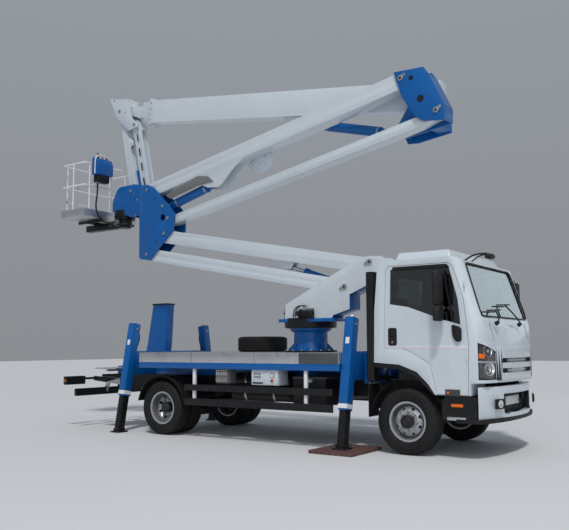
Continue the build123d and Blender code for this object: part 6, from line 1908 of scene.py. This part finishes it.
@dataclass
class ChassisDetails:
    """Springs' leaves, brake chambers, tank straps and caps, rear lamps and the blank plates."""

    rear: float = -6.15
    leaf: float = 0.0085

    def build(self) -> None:
        """Build the running gear's and the tail's pieces."""
        gear = Piece("running_gear", "chassis", Finish.BLACK)
        for hand in (-1, 1):
            for (axle, _), (leaf, drop) in zip(AXLES.values(), ((0.62, 0.419), (0.7, 0.508))):
                for step in range(5):
                    reach = leaf * (0.3 + 0.15 * step)
                    low = drop + 0.004 + 0.0112 * step
                    rise = (reach - 0.09) * (0.63 - drop) / (leaf - 0.13)
                    under = [(-reach, low + rise), (-0.09, low), (0.09, low), (reach, low + rise)]
                    outline = under + [(x, z + self.leaf) for x, z in reversed(under)]
                    gear.plate([at(axle + x, hand * 0.39 - 0.037, z) for x, z in outline], by(0, 0.074, 0))
                for shift in (-0.07, 0.07):
                    bow = ((0.345, -0.08), (0.345, 0.085), (0.435, 0.085), (0.435, -0.08))
                    gear.pipe([at(axle + shift, hand * y, drop + z) for y, z in bow], 0.01, 8, Finish.HUB)
                gear.rod(
                    at(axle + 0.12, hand * 0.457, drop + 0.03), at(axle + 0.17, hand * 0.457, 0.65), 0.022, 16,
                    chamfer=0.003)
                gear.rod(
                    at(axle + 0.165, hand * 0.457, 0.63), at(axle + 0.2, hand * 0.457, 0.8), 0.025, 16, Finish.HUB,
                    chamfer=0.003)
            chamber = at(-4.575, hand * 0.25, 0.5)
            gear.knob(chamber, by(-1, 0, 0.2), [
                (0.07, 0.0), (0.082, 0.02), (0.082, 0.06), (0.09, 0.065), (0.09, 0.08), (0.082, 0.085), (0.078, 0.15),
                (0.05, 0.17)], 28)
            gear.rod(chamber, chamber + by(0.16, 0, 0.0), 0.01, 10, Finish.STEEL)
            line = ((-0.05, 0.0, 0.08), (-0.05, -0.03, 0.22), (-0.02, -0.12, 0.26))
            gear.pipe([chamber + by(x, hand * y, z) for x, y, z in line], 0.008, 8, Finish.HOSE)
        for x in (-2.25, -1.6):
            gear.box(at(x, 0.76, 0.79), (0.045, 0.526, 0.426), 0.071, Finish.STEEL, segments=4)
        gear.lathe(at(-1.95, 0.9, 0.995), by(0, 0.3, 1), [
            (POLE, 0.0), (0.045, 0.0), (0.047, 0.015), (0.04, 0.024), (POLE, 0.026)], 28, Finish.SEAL)
        for x in (-2.9, -2.35):
            for z in (0.685, 0.915):
                gear.lathe(at(x, -0.64, z), AHEAD, [
                    (0.1065, -0.018), (0.109, -0.018), (0.109, 0.018), (0.1065, 0.018)], 36, Finish.STEEL)
        for z in (0.685, 0.915):
            gear.lathe(at(-3.18, -0.64, z), by(-1, 0, 0), [
                (POLE, 0.0), (0.09, 0.0), (0.085, 0.012), (0.05, 0.024), (POLE, 0.028)], 32, Finish.PLASTIC)
            gear.rod(at(-2.06, -0.64, z), at(-2.02, -0.64, z), 0.014, 6, Finish.STEEL)
        gear.box(at(-1.54, -0.74, 0.972), (0.576, 0.516, 0.034), 0.008, Finish.GREY)
        gear.box(at(-1.54, -0.985, 0.93), (0.1, 0.012, 0.05), 0.003, Finish.STEEL)
        for step in range(9):
            gear.box(at(-0.545, -0.992, 2.09 + step * 0.027), (0.085, 0.008, 0.01), 0.002, Finish.SEAL)
        gear.done()
        tank = Piece("oil_tank", "chassis", Finish.BLUE)
        tank.box(at(-0.67, -0.6, 1.12), (0.2, 0.32, 0.44), 0.02)
        tank.lathe(at(-0.67, -0.6, 1.34), UP, [
            (POLE, 0.0), (0.04, 0.0), (0.042, 0.02), (0.036, 0.03), (POLE, 0.032)], 24, Finish.SEAL)
        tank.rod(at(-0.67, -0.762, 1.12), at(-0.67, -0.768, 1.12), 0.02, 20, Finish.STEEL)
        tank.done()
        tail = Piece("tail_lamps", "chassis", Finish.PLASTIC)
        face = self.rear - 0.64
        for hand in (-1, 1):
            for y, finish in ((0.78, Finish.BAND), (0.865, Finish.AMBER), (0.95, Finish.RED), (1.035, Finish.RED)):
                tail.box(at(face - 0.004, hand * y, 0.82), (0.012, 0.078, 0.115), 0.006, finish)
            tail.box(at(face - 0.001, hand * 0.905, 0.82), (0.006, 0.375, 0.14), 0.004)
            tail.rod(
                at(face + 0.045, hand * 1.15, 0.82), at(face + 0.045, hand * 1.1525, 0.82), 0.022, 20, Finish.AMBER)
            tail.box(at(self.rear + 0.35, hand * 0.75, 1.0575), (0.52, 0.58, 0.003), 0.001, Finish.PLATE)
        tail.box(at(face + 0.026, 0.0, 0.845), (0.008, 0.5, 0.105), 0.003, Finish.BAND)
        tail.box(at(face + 0.028, 0.0, 0.845), (0.008, 0.53, 0.13), 0.003, Finish.PLASTIC)
        for y in (-0.6, -0.2, 0.2, 0.6):
            tail.bolt(at(self.rear - 0.331, y, 0.62), by(-1, 0, 0), 0.022)
        for hand in (-1, 1):
            tail.box(at(self.rear - 0.332, hand * 0.95, 0.62), (0.004, 0.3, 0.05), 0.001, Finish.RED)
        tail.done()


@dataclass
class Studio:
    """Floor, lamps, world and the camera at the photograph's viewpoint."""

    eye: Point = (4.34, -10.009, 1.427)
    heading: float = 0.606
    rise: float = 0.1107
    roll: float = -0.004
    focal: float = 46.67
    shift: Pair = (-0.0057, -0.0013)
    floor_size: float = 120.0

    def build(self) -> None:
        """Build all of the studio."""
        self.camera()
        self.floor()
        self.world()
        self.lamps()
        LOG.info("studio is set")

    def camera(self) -> None:
        """Put the camera where the photograph was taken from."""
        data = bpy.data.cameras.new("photo_camera")
        data.sensor_width = 36.0
        data.lens = self.focal
        data.shift_x, data.shift_y = self.shift
        data.clip_end = 400.0
        made = link("photo_camera", data)
        flat = cos(self.rise)
        look = by(-sin(self.heading) * flat, cos(self.heading) * flat, sin(self.rise))
        turn = look.to_track_quat("-Z", "Y").to_matrix() @ Matrix.Rotation(self.roll, 3, "Z")
        made.matrix_world = Matrix.Translation(at(*self.eye)) @ turn.to_4x4()
        bpy.context.scene.camera = made

    def floor(self) -> None:
        """Lay the plain pale floor."""
        mesh = bmesh.new()
        bmesh.ops.create_grid(mesh, x_segments=1, y_segments=1, size=self.floor_size / 2)
        data = bpy.data.meshes.new("floor")
        mesh.to_mesh(data)
        mesh.free()
        shade = Shade("floor_grey", (0.62, 0.63, 0.65), 0.85)
        shade.bump(shade.noise(40.0, 3.0), 0.03, 0.002)
        data.materials.append(shade.material)
        link("floor", data)

    def world(self) -> None:
        """Light the scene from a pale sky that is brighter overhead."""
        world = bpy.data.worlds.new("sky")
        world.use_nodes = True
        bpy.context.scene.world = world
        tree = world.node_tree
        back = tree.nodes["Background"]
        place = tree.nodes.new("ShaderNodeTexCoord")
        split = tree.nodes.new("ShaderNodeSeparateXYZ")
        ramp = tree.nodes.new("ShaderNodeValToRGB")
        rows = ((0.42, (0.58, 0.6, 0.63, 1.0)), (0.9, (0.78, 0.86, 0.98, 1.0)))
        for element, (position, colour) in zip(ramp.color_ramp.elements, rows):
            element.position, element.color = position, colour
        half = tree.nodes.new("ShaderNodeMapRange")
        half.inputs[1].default_value = -1.0
        tree.links.new(place.outputs["Generated"], split.inputs[0])
        tree.links.new(split.outputs[2], half.inputs[0])
        tree.links.new(half.outputs[0], ramp.inputs[0])
        tree.links.new(ramp.outputs[0], back.inputs[0])
        back.inputs[1].default_value = 0.42

    def lamps(self) -> None:
        """Hang a sun behind the right shoulder, a wide fill and a softbox that the windscreen mirrors."""
        sun = bpy.data.lights.new("key", "SUN")
        sun.energy = 1.75
        sun.angle = radians(6.0)
        sun.color = (1.0, 0.97, 0.93)
        link("key", sun).rotation_euler = by(-0.28, 0.42, -0.86).to_track_quat("-Z", "Y").to_euler()
        rows = (
            ("fill", 260.0, 9.0, (1.0, 1.0, 1.0), at(5.5, -10.0, 6.5), at(-1.5, 0.0, 2.0)),
            ("softbox", 42.0, 5.0, (0.76, 0.93, 1.0), at(3.9, 12.3, 5.2), at(0.95, 0.0, 2.1)),
        )
        for name, energy, size, colour, spot, target in rows:
            soft = bpy.data.lights.new(name, "AREA")
            soft.energy, soft.size, soft.color = energy, size, colour
            made = link(name, soft)
            made.location = spot
            made.rotation_euler = (target - spot).to_track_quat("-Z", "Y").to_euler()
            made.visible_camera = False


def main() -> None:
    """Dress the nodes, add the fittings and set the studio."""
    logging.basicConfig(level=logging.INFO, format="%(message)s")
    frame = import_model()
    bpy.context.scene.view_settings.view_transform = "Standard"
    Studio().build()
    BasketHose().build()
    dresser = Dresser(frame)
    dresser.dress()
    Patches(dresser).build()
    Softener(frame).build()
    TyreSet().build()
    WheelFittings().build()
    CabTrim().build()
    for maker in (
        Basket, Console, PinCaps, CylinderSleeves, BoomFittings, DeckFittings, SlewFittings, ControlPanels, CabDetails,
        Interior, ChassisDetails):
        maker().build()


if __name__ == "__main__":
    main()
